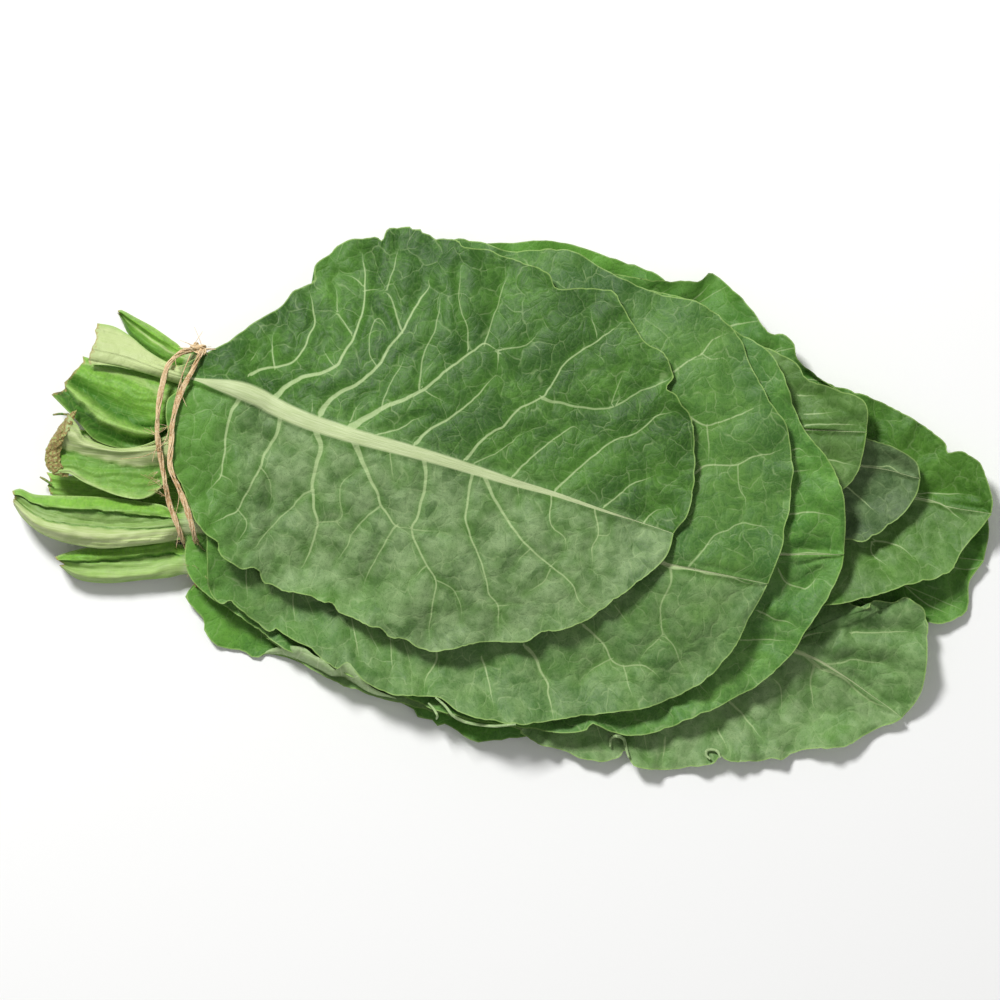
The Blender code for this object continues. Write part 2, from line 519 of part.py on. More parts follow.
def winding_loop(pile, route, clear, under_height):
    """Closed loop round the petioles, over the top along the route and back beneath them: its
    points, and the direction away from the petioles at each."""
    line = smooth_line(route)
    walked = lengths_along(line)
    held = np.concatenate(pile.at_tie)
    away = np.linalg.norm(line[:, None] - held[None, :, :2], axis=2)
    tops = np.where(away < 0.5 * RAFFIA_WIDTH + 1, held[:, 2], -1).max(axis=1)
    inside = tops > 0
    low, high = walked[inside].min() - SIDE_CLEAR, walked[inside].max() + SIDE_CLEAR
    hull = upper_hull(np.column_stack([walked, tops + clear])[inside])
    hull = np.vstack([(low, hull[0, 1] - 1), hull, (high, hull[-1, 1] - 1)])
    over = at_lengths(hull, np.linspace(0, lengths_along(hull)[-1], OVER_POINTS))
    level = np.full(UNDER_POINTS, under_height)
    under = np.column_stack([np.linspace(high, low, UNDER_POINTS), level])
    loop = np.vstack([over, under])
    for _ in range(LOOP_SMOOTHINGS):
        loop = 0.25 * np.roll(loop, 1, axis=0) + 0.5 * loop + 0.25 * np.roll(loop, -1, axis=0)
    turn = np.roll(loop, -1, axis=0) - np.roll(loop, 1, axis=0)
    turn /= np.linalg.norm(turn, axis=1)[:, None]
    start, end = line[1] - line[0], line[-1] - line[-2]
    plan = at_lengths(line, np.clip(loop[:, 0], 0, walked[-1]))
    plan += np.minimum(loop[:, :1], 0) * start / np.linalg.norm(start)
    plan += np.maximum(loop[:, :1] - walked[-1], 0) * end / np.linalg.norm(end)
    heading = at_lengths(line, np.clip(loop[:, 0] + 1, 1, walked[-1]))
    heading -= at_lengths(line, np.clip(loop[:, 0] - 1, 0, walked[-1] - 1))
    heading /= np.linalg.norm(heading, axis=1)[:, None]
    out = np.column_stack([-turn[:, 1:] * heading, turn[:, 0]])
    return np.column_stack([plan, loop[:, 1]]), out


def strand_mesh(path, out):
    """Flat closed strand swept along the path, its broad side against what it is wound round."""
    count = len(path)
    tangent = np.roll(path, -1, axis=0) - np.roll(path, 1, axis=0)
    across = np.cross(tangent, out)
    across /= np.linalg.norm(across, axis=1)[:, None]
    angles = 2 * math.pi * (np.arange(STRAND_SIDES) + 0.5) / STRAND_SIDES
    shape = np.cos(angles)[:, None, None] * out * RAFFIA_THICK / 2
    shape = shape + np.sin(angles)[:, None, None] * across * RAFFIA_WIDTH / 2
    rings = (path + shape).transpose(1, 0, 2)
    centre = np.array([*BUNCH_CENTRE, 0.0])
    work = bmesh.new()
    made = [[work.verts.new((p - centre) * MM) for p in ring] for ring in rings]
    for i in range(count):
        a, b = made[i], made[(i + 1) % count]
        for k in range(STRAND_SIDES):
            n = (k + 1) % STRAND_SIDES
            work.faces.new((a[k], a[n], b[n], b[k]))
    bmesh.ops.triangulate(work, faces=work.faces)
    bmesh.ops.recalc_face_normals(work, faces=work.faces)
    mesh = bpy.data.meshes.new("winding")
    work.to_mesh(mesh)
    work.free()
    return mesh


def knot_mesh(centre_mm):
    """Small lump where the two ends of the raffia are hitched together."""
    work = bmesh.new()
    bmesh.ops.create_icosphere(work, subdivisions=2, radius=0.5)
    for vert in work.verts:
        x, y, z = vert.co
        swell = 1 + KNOT_LUMPS * math.sin(9 * x + 5 * y)
        place = [c + s * swell * v for c, s, v in zip(centre_mm, KNOT_SIZE, (x, y, z))]
        vert.co = [(p - o) * MM for p, o in zip(place, (*BUNCH_CENTRE, 0.0))]
    mesh = bpy.data.meshes.new("knot")
    work.to_mesh(mesh)
    work.free()
    return mesh


def tie_bunch(pile):
    """Two windings and their knot, joined into one piece of raffia."""
    clear = RAFFIA_CLEAR + 0.5 * RAFFIA_THICK
    loops = [winding_loop(pile, WINDINGS["first"], clear, STRAND_MIDDLES["first"]),
             winding_loop(pile, WINDINGS["second"], clear + SECOND_WINDING_RISE,
                          STRAND_MIDDLES["second"])]
    meshes = [strand_mesh(path, out) for path, out in loops]
    meshes.append(knot_mesh((loops[0][0][KNOT_POINT] + loops[1][0][KNOT_POINT]) / 2))
    tie = add_object("raffia_tie", meshes[0], 0.8)
    for k, mesh in enumerate(meshes[1:]):
        other = bpy.data.objects.new("joined", mesh)
        bpy.context.scene.collection.objects.link(other)
        union = tie.modifiers.new(f"join_{k}", "BOOLEAN")
        union.operation = "UNION"
        union.object = other
        bake_modifiers(tie)
        bpy.data.objects.remove(other, do_unlink=True)
    return tie


def bake_modifiers(thing):
    graph = bpy.context.evaluated_depsgraph_get()
    baked = bpy.data.meshes.new_from_object(thing.evaluated_get(graph))
    thing.modifiers.clear()
    thing.data = baked


def room_for_raffia(pile):
    """The petioles lie on the raffia that passes beneath them."""
    for route in WINDINGS.values():
        line = smooth_line(route)
        pile.raise_to(line, UNDER_TIE + RAFFIA_THICK - LEAF_GAP)
    pile.height = spread(pile.height, 1, np.max)


def build():
    clear_scene()
    pile = Pile()
    room_for_raffia(pile)
    for name, leaf in LEAVES.items():
        plan, bottom, top, faces = lay_leaf(leaf, pile, pressed=not pile.at_tie)
        add_object(name, leaf_mesh(name, plan, bottom, top, faces), 0.5)
    tie_bunch(pile)


build()
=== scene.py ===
import math

import bpy
import numpy as np
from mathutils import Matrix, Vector


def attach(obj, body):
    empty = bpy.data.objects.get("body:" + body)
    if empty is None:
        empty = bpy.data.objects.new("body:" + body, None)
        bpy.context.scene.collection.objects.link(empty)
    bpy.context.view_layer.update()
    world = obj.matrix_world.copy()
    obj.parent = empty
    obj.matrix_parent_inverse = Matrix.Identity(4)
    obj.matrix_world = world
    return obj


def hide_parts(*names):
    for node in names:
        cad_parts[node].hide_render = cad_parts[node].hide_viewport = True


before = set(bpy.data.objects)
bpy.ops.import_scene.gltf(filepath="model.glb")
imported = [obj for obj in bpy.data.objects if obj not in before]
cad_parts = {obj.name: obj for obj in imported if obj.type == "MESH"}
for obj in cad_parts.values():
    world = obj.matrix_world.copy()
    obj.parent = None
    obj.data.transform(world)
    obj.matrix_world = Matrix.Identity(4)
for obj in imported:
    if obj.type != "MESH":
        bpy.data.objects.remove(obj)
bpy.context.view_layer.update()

# Bunch of collard greens. Plans are in millimetres from above, with the tie at the origin and +X
# towards the leaf tips, as in the solids. bunchCentre is the point of the plan at the frame's origin.
millimetre = 0.001
bunchCentre = (145.8, -21.4)

# How the solid of a leaf is laid out, which the fine leaf follows
solid = {
    "stemRows": 6, "bladeRows": 22, "sideColumns": 5, "bladeEnd": 0.985, "rowCrowding": 0.3,
    "ribTaper": 0.85, "ribDepthTaper": 1.5, "ribLeast": 0.6, "ribShare": 0.55, "ribRise": 0.75,
    "ribSinksBy": 0.3, "ribRiseLeast": 0.12, "petioleFlare": 0.35, "wingWidths": (2.0, 12.0),
    "tieX": 4.0, "thick": 0.9,
}
# Each leaf, lowest first: its midrib and its two outlines from the cut end to the tip, and the
# half-width and half-depth of its petiole at the tie
leafShapes = {
    "leaf_10": {
        "mid": [(-56, -13), (-42.5, -14.5), (-25, -14), (4, -13), (37.5, -14.5), (91, -13.5), (144.5, -11),
                (198, -9), (262, -8)],
        "left": [(-57.5, -8), (-42.5, -10), (-25, -9.5), (4, -9), (10.5, 0), (22, 13.5), (46.5, 38),
                 (73, 65), (100, 81.5), (131, 92.5), (148.5, 94), (162, 95), (175.5, 93.5), (193.5, 87.5),
                 (214, 80), (229, 65), (246.5, 42.5), (258, 20.5), (262, -8)],
        "right": [(-56, -18), (-42.5, -19), (-25, -18.5), (4, -17), (16, -22), (25, -34), (26, -56),
                  (14, -64), (5, -66), (6, -70), (11.5, -76), (19, -87), (35, -91.5), (48, -90.5),
                  (56, -94.5), (73, -101.5), (88, -108.5), (103, -112), (108.5, -118.5), (124.5, -125),
                  (135.5, -129.5), (141.5, -127.5), (162, -124.5), (189, -115.5), (215.5, -100),
                  (242.5, -69), (255.5, -37.5), (262, -8)],
        "stem": (4.5, 3.6),
    },
    "leaf_7": {
        "mid": [(-48, -25), (-24.5, -28), (4.5, -28), (100, -29.5), (189, -34), (277.5, -40), (322, -43),
                (360, -47.5)],
        "left": [(-47, -21), (-24.5, -24), (4.5, -24), (100, -20.5), (153, 0), (206.5, 11.5), (260, 11.5),
                 (304.5, 4.5), (340, -6.5), (357.5, -20), (362, -33), (360, -47.5)],
        "right": [(-48.5, -29), (-24.5, -32), (4.5, -32), (100, -40), (153, -60.5), (206.5, -78.5),
                  (260, -85.5), (304.5, -82), (324.5, -76.5), (334, -75), (340, -75.5), (348, -73),
                  (353, -68), (353.5, -57), (360, -47.5)],
        "stem": (4.4, 3.6),
    },
    "leaf_8": {
        "mid": [(-51, -48), (-42.5, -51), (-29, -52), (-11, -51), (5.5, -49), (55.5, -58), (122, -67),
                (188.5, -74), (233, -79.5), (276.5, -88), (295.5, -97.5), (310, -107.5), (328.5, -116)],
        "left": [(-52.5, -46), (-46.5, -43.5), (-38, -41.5), (-20, -39.5), (-6.5, -40.5), (5.5, -45),
                 (55.5, -40), (109, -33), (162, -28.5), (215.5, -33), (260, -46.5), (286.5, -60),
                 (306, -68.5), (310, -65), (319, -66), (325, -63.5), (333.5, -71.5), (333.5, -91),
                 (331.5, -104), (328.5, -116)],
        "right": [(-49.5, -51), (-46, -54), (-40.5, -56.5), (-29, -57.5), (-13.5, -56), (-2.5, -55),
                  (5.5, -53.5), (20, -56), (34, -76), (69, -100), (113, -114), (151.5, -122), (169, -130.5),
                  (182, -136), (197, -136), (199, -131), (206, -139), (220, -141.5), (240.5, -139),
                  (245.5, -136.5), (255.5, -138), (270.5, -135.5), (290.5, -130.5), (306, -126.5),
                  (324, -118.5), (328.5, -116)],
        "stem": (5.0, 4.6),
    },
    "leaf_6": {
        "mid": [(-43.5, 7), (-24, 3.5), (4.5, 1.5), (100, -6.5), (188.5, -10), (277.5, -13), (330.5, -19.5),
                (344, -23.5), (362.5, -26.5)],
        "left": [(-42.5, 11), (-24, 7.5), (4.5, 5.5), (100, 2.5), (144.5, 15.5), (197.5, 31), (250.5, 37),
                 (277.5, 34.5), (305, 26.5), (322.5, 18.5), (333.5, 12), (342.5, 4.5), (343, 0.5),
                 (349.5, 1), (357, -3.5), (360, -10.5), (363, -20), (362.5, -26.5)],
        "right": [(-44.5, 2.5), (-24, -1), (4.5, -2.5), (100, -16), (144.5, -37.5), (197.5, -59),
                  (250.5, -68.5), (288, -67), (297, -66), (309.5, -63), (324.5, -58), (342.5, -53),
                  (349, -43.5), (357, -34), (362.5, -26.5)],
        "stem": (4.4, 3.6),
    },
    "leaf_9": {
        "mid": [(-25, 62.5), (-19.5, 57.5), (-8, 49.5), (5.5, 42.5), (38, 35), (82.5, 36), (144.5, 41),
                (197.5, 43), (241.5, 39.5), (277, 32.5), (300, 25.5)],
        "left": [(-25.5, 64), (-23.5, 64), (-17, 60.5), (-10.5, 57), (-4.5, 53), (0.5, 49.5), (7.5, 46),
                 (38, 45.5), (73.5, 60), (109, 73), (153, 82), (188.5, 81), (213.5, 77), (232.5, 77),
                 (238, 80.5), (245, 75.5), (252.5, 68.5), (258, 61.5), (264, 53.5), (270.5, 53),
                 (275, 48.5), (277, 41), (290, 31), (300, 25.5)],
        "right": [(-26, 63), (-24, 60), (-21, 53.5), (-14.5, 46.5), (-7, 41.5), (-0.5, 39), (6.5, 38),
                  (38, 28), (73.5, 15.5), (109, 2.5), (153, -6.5), (188.5, -8.5), (232.5, -6.5), (268, 2.5),
                  (290, 11), (300, 25.5)],
        "stem": (3.6, 3.2),
    },
    "leaf_5": {
        "mid": [(-43.5, 23.5), (-28, 20), (-10, 17.5), (5.5, 16.5), (78, 8.5), (171, -0.5), (232.5, -4),
                (304, -5.5), (331, -11)],
        "left": [(-43, 28), (-28, 24.5), (-10, 22), (5.5, 20.5), (78, 13.5), (135.5, 17.5), (188.5, 28),
                 (232.5, 29), (276.5, 19), (306.5, 7), (319, 3), (329, -3.5), (331, -11)],
        "right": [(-44.5, 19), (-28, 15.5), (-10, 13.5), (5.5, 12.5), (78, 2.5), (135.5, -15.5),
                  (188.5, -35), (232.5, -44), (276.5, -44.5), (297, -38), (302.5, -39), (309, -37),
                  (322, -27.5), (329, -18.5), (331, -11)],
        "stem": (4.4, 3.6),
    },
    "leaf_4": {
        "mid": [(-47, 31), (-36.5, 26), (-23, 20.5), (-10, 17), (5.5, 16), (56, 13.5), (122.5, 10),
                (188.5, 10), (259, 11), (306.5, 9.5)],
        "left": [(-40, 43), (-32, 41), (-21, 39), (-11, 35.5), (-3, 28), (5.5, 20.5), (56, 37.5),
                 (100, 57.5), (144.5, 68.5), (188.5, 68.5), (232.5, 58.5), (259, 48.5), (274.5, 40.5),
                 (281.5, 32.5), (297, 27), (304, 24.5), (307, 19), (306.5, 9.5)],
        "right": [(-53, 25.5), (-47, 19), (-41, 12.5), (-35.5, 6.5), (-26.5, 3), (-16.5, 2), (-8.5, 3.5),
                  (-2, 9.5), (5.5, 12), (56, -11), (100, -33), (144.5, -46), (188.5, -50.5), (232.5, -46),
                  (267.5, -35), (285.5, -25), (296.5, -15.5), (303, -7.5), (306.5, 9.5)],
        "stem": (4.8, 4.2),
    },
    "leaf_3": {
        "mid": [(-71, -19.5), (-58, -27.5), (-40.5, -31), (-23, -32), (-5.5, -31), (5.5, -30.5),
                (56.5, -34), (122.5, -39.5), (188.5, -43), (241, -44.5), (296.5, -44.5)],
        "left": [(-71.5, -16.5), (-68, -15.5), (-61.5, -18), (-49.5, -18.5), (-34, -19), (-18.5, -20.5),
                 (-5.5, -22.5), (8, -25), (38.5, 2), (74, 31), (113.5, 53), (162, 68), (206, 72.5),
                 (232.5, 66), (243, 57), (256.5, 49.5), (267, 39.5), (275, 18), (279, 10), (289, -2.5),
                 (295, -15.5), (297, -28.5), (296.5, -44.5)],
        "right": [(-71, -22.5), (-67, -28.5), (-60, -34.5), (-51, -38.5), (-42.5, -40.5), (-31.5, -42),
                  (-18.5, -41), (-5.5, -39.5), (6, -37.5), (14, -40), (15.5, -47), (17.5, -56), (24, -64.5),
                  (34.5, -76), (49.5, -86.5), (67.5, -93.5), (88.5, -102.5), (104.5, -108.5), (115, -113),
                  (131, -117.5), (150.5, -120.5), (170.5, -123.5), (182.5, -122.5), (185.5, -119.5),
                  (198.5, -124.5), (213.5, -123.5), (228, -117.5), (241.5, -112), (259.5, -102), (274, -88),
                  (279, -79), (289, -64), (295, -51.5), (296.5, -44.5)],
        "stem": (5.6, 5.0),
    },
    "leaf_2": {
        "mid": [(-51.5, 4), (-40, 1), (-22.5, -0.5), (-5, -0.5), (6, -2), (56.5, -10), (122.5, -24),
                (170.5, -38), (217, -48.5), (241, -52.5), (270, -58.5)],
        "left": [(-46.5, 18), (-42, 12.5), (-39.5, 7.5), (-34, 5), (-25, 2.5), (-14, 1.5), (-3, 2),
                 (6.5, 3), (14.5, 10), (25.5, 24), (47.5, 50.5), (69.5, 72.5), (96, 88), (124, 95),
                 (137, 93.5), (148.5, 90), (175, 90), (191.5, 81), (209.5, 72.5), (220, 69.5), (235, 65),
                 (249.5, 52), (254, 40.5), (261, 27.5), (269, 15), (273, -7.5), (271, -31), (270, -58.5)],
        "right": [(-57, -3), (-53.5, -8.5), (-46.5, -8.5), (-39.5, -12.5), (-31.5, -16), (-22.5, -19),
                  (-14, -20), (-7, -17), (-1.5, -10), (6.5, -7.5), (11, -13.5), (14.5, -28.5), (17, -42.5),
                  (18.5, -55), (25.5, -64.5), (45.5, -78), (57.5, -85.5), (74, -95), (84.5, -100.5),
                  (95.5, -106), (115, -107), (123, -113.5), (139.5, -117.5), (155.5, -119.5), (169, -117.5),
                  (196.5, -114), (211, -112), (228, -104.5), (237.5, -98), (247.5, -86), (254, -72.5),
                  (261, -62), (270, -58.5)],
        "stem": (4.6, 4.2),
    },
    "leaf_1": {
        "mid": [(-35.5, 48.5), (-20, 44.5), (-5, 38.5), (3, 35.5), (13, 31), (30, 26.5), (45.5, 22),
                (65.5, 15), (84, 8), (107.5, 1), (130, -4.5), (149.5, -10.5), (169, -16), (188.5, -23.5),
                (206, -29), (225, -33)],
        "left": [(-34, 58), (-26.5, 56.5), (-19, 52), (-11, 45.5), (-2.5, 40.5), (3, 39), (8.5, 41.5),
                 (16.5, 45.5), (25, 50), (34, 57), (47.5, 65.5), (53.5, 72.5), (62.5, 76.5), (62.5, 83.5),
                 (71, 91), (77, 94), (91.5, 95), (95.5, 99.5), (108.5, 99.5), (116.5, 94), (127, 91),
                 (141.5, 89.5), (151.5, 85.5), (163, 80.5), (168, 73.5), (179, 72.5), (191.5, 72),
                 (195.5, 69), (201.5, 61), (209, 48.5), (216, 44), (219.5, 37), (220, 29.5), (227.5, 17),
                 (230, 5), (230, -9.5), (227.5, -21), (225, -33)],
        "right": [(-37, 39.5), (-27.5, 39), (-18, 37), (-9, 34.5), (-1.5, 32), (5.5, 29.5), (7.5, 25),
                  (5.5, 20.5), (3.5, 13), (2, 5.5), (0.5, -0.5), (1, -6), (3.5, -12), (5.5, -17),
                  (8, -23.5), (10.5, -29.5), (13, -34.5), (20, -38), (22, -45), (30, -50.5), (37.5, -49.5),
                  (41.5, -57.5), (49.5, -60), (61.5, -62.5), (71, -65.5), (75, -71), (92.5, -76.5),
                  (103.5, -82), (117, -87.5), (127.5, -85), (137.5, -83), (155.5, -83), (163, -78.5),
                  (173, -77.5), (184, -72.5), (194.5, -64.5), (206, -56), (217, -45.5), (220, -36),
                  (225, -33)],
        "stem": (5.4, 4.4),
    },
}

# Margins and midribs as the fine leaves have them: each stretch replaces the points of the solid's
# line between its two ends, and a stretch that ends by the tip replaces the tip too
fineMargins = {
    "leaf_10": {
        "right": [[(-25, -20), (-12, -23), (0, -25), (10, -27), (18, -30), (25, -38), (26, -54),
                  (15.8, -59.8), (10.1, -59), (4.6, -62), (5.9, -65.8),
                  (13, -74.2), (12.2, -76.3), (14.3, -81), (20.2, -86), (29, -87.3), (32.8, -89.8),
                  (37, -90.6), (39.5, -89), (48.8, -90.2), (56.3, -93.2), (61.4, -96.1),
                  (70.7, -99.9), (78.2, -102.9), (87.5, -107.1), (95.9, -109.1), (100.1, -110.4),
                  (106, -113.8), (108.5, -117.6), (114.5, -118.4), (117, -121), (120.3, -119.9),
                  (123.6, -122.2), (131.1, -127.3)]],
    },
    "leaf_8": {
        "right": [[(151.8, -121.7), (153, -123.6), (158.6, -126.7), (163.7, -129.7), (173.8, -132.2),
                  (181.3, -135.5), (186.4, -136.4), (193.2, -136.4), (198.2, -134.3),
                  (199.7, -131.4), (201.5, -134.3), (203.3, -137.7), (206.6, -139.3),
                  (218.4, -140.6), (228.5, -139.3), (235.2, -138.5), (239.4, -137.7),
                  (242.4, -134), (244.5, -135.5), (248.7, -136.8), (257.1, -136.8),
                  (263.9, -135.5), (270.6, -134.7)],
                  [(270.5, -135.5), (279, -131.5), (290, -131), (299.2, -129.4), (306.2, -125.5),
                   (314, -121.5), (319.5, -119.8), (323.5, -117.5)]],
        "mid": [[(310, -107.5), (317.5, -112.7), (323.5, -117.5)]],
        "left": [[(-20, -39.5), (-8, -38.8), (0.5, -38.4), (5.5, -40.5), (55.5, -40)],
                 [(333.5, -71.5), (333.8, -88), (332.8, -101), (329.6, -109.8), (323.5, -117.5)]],
    },
    "leaf_3": {
        "right": [[(4.5, -38.2), (4.8, -44.4), (5.4, -49.7), (7.2, -54.6), (10.1, -58.3), (14.1, -62),
                  (19.4, -65.8), (26, -70)]],
    },
    "leaf_2": {
        "mid": [[(217, -48.5), (241, -53), (262.5, -57.5)]],
        "left": [[(-25, 2.5), (-14, 3.5), (-5, 7), (4.5, 10.5), (14.5, 14), (25.5, 24)],
                 [(254, 40.5), (259, 31.2), (263.8, 21.8), (269.7, 14.1), (271.8, 6.4), (273.4, -5.4),
                  (272.6, -14.8), (272, -24.2), (269.7, -32.5), (269.1, -39.6), (266.7, -46.6),
                  (262.5, -57.5)]],
        "right": [[(15.2, -48), (15.6, -59.4), (19.4, -65.4), (22.4, -66.4), (25.1, -64.6), (27, -66.9),
                  (35.2, -73.5), (41.4, -78.3), (43.9, -79), (44.8, -77.2), (49.7, -80.1),
                  (56.3, -84), (59.8, -85.6), (65.6, -90.2), (71.5, -94.9), (74.8, -93.6),
                  (77.4, -92.4), (80, -95.3), (84.1, -100.3), (88.4, -103), (94.2, -105.4),
                  (99.3, -106.7), (116.2, -107.5), (119.5, -108.8), (126.2, -113.8)],
                  [(247.5, -86), (254.3, -72.6), (259.1, -64.3), (262.5, -57.5)]],
    },
    "leaf_4": {
        "left": [[(-21, 39), (-11, 36.5), (-3, 34), (4.5, 31), (12, 29), (56, 37.5)]],
    },
    "leaf_1": {
        "mid": [[(3, 35.5), (13, 33.3), (21, 30.8), (30, 27.8), (39.6, 24), (45.5, 20.6), (56, 15.8),
                 (65.5, 12.3), (84, 6.6), (107.5, 0.4), (130, -6.2), (149.5, -12.4), (169, -18),
                 (188.5, -24.6), (206, -30.2), (220.8, -35.2)]],
        "left": [[(69.5, 89.1), (72, 92), (78.8, 95), (89.8, 95.7), (92.4, 94.4), (93.2, 96.4),
                 (94.2, 98.8), (96.6, 100.1), (104, 100.5), (105.7, 99.2), (109.3, 99.2),
                 (110.2, 97.5), (114.1, 96.4), (115.8, 94.6), (117.6, 95.4), (123.4, 94.6),
                 (126.7, 93.7), (128.8, 91.2), (139.4, 90.3), (145.3, 87.4), (150.3, 86.2),
                 (162.1, 81.5), (166.3, 79), (168, 74.8), (171.8, 72.1), (181.5, 73.3),
                 (192.4, 71.9), (195.8, 69.7), (201.5, 59.6)],
                 [(209, 48.5), (214.8, 45.6), (218.2, 41.7), (219.9, 36.6), (221, 33.4), (217.6, 28.8),
                  (221.5, 26), (224.9, 20.9), (228.3, 15.8), (230, 5), (230, -9.5), (228.8, -20),
                  (226.6, -27.8), (223.8, -31.3), (220.8, -35.2)]],
        "right": [[(-9, 34.5), (-1.5, 32), (5.2, 29.6), (2.4, 27.6), (-2, 24), (-2.8, 17), (-2, 10),
                  (-1.6, 4), (-1, -2), (0.6, -7), (3.5, -12), (5.5, -17), (8, -23.5), (10.5, -29.5),
                  (14, -34.4), (20.2, -38.7), (20.6, -42.4), (23.5, -46.6), (30.3, -50.6), (35, -50.4),
                  (38.4, -51.6), (38.8, -54.5), (40.2, -57.3), (43.7, -57.6), (48.8, -60.7),
                  (54.1, -61.4), (61, -63), (66.4, -65.6), (70.7, -66.2), (73.6, -70.4),
                  (79.9, -72.4), (86.7, -76.4), (91.7, -76.6), (96, -80.8), (101.8, -81.6),
                  (111.1, -86.6), (120.3, -87), (127.5, -85)],
                  [(206, -56), (212.6, -50.4), (217.2, -45.7), (219.4, -41), (220.8, -35.2)]],
    },
}

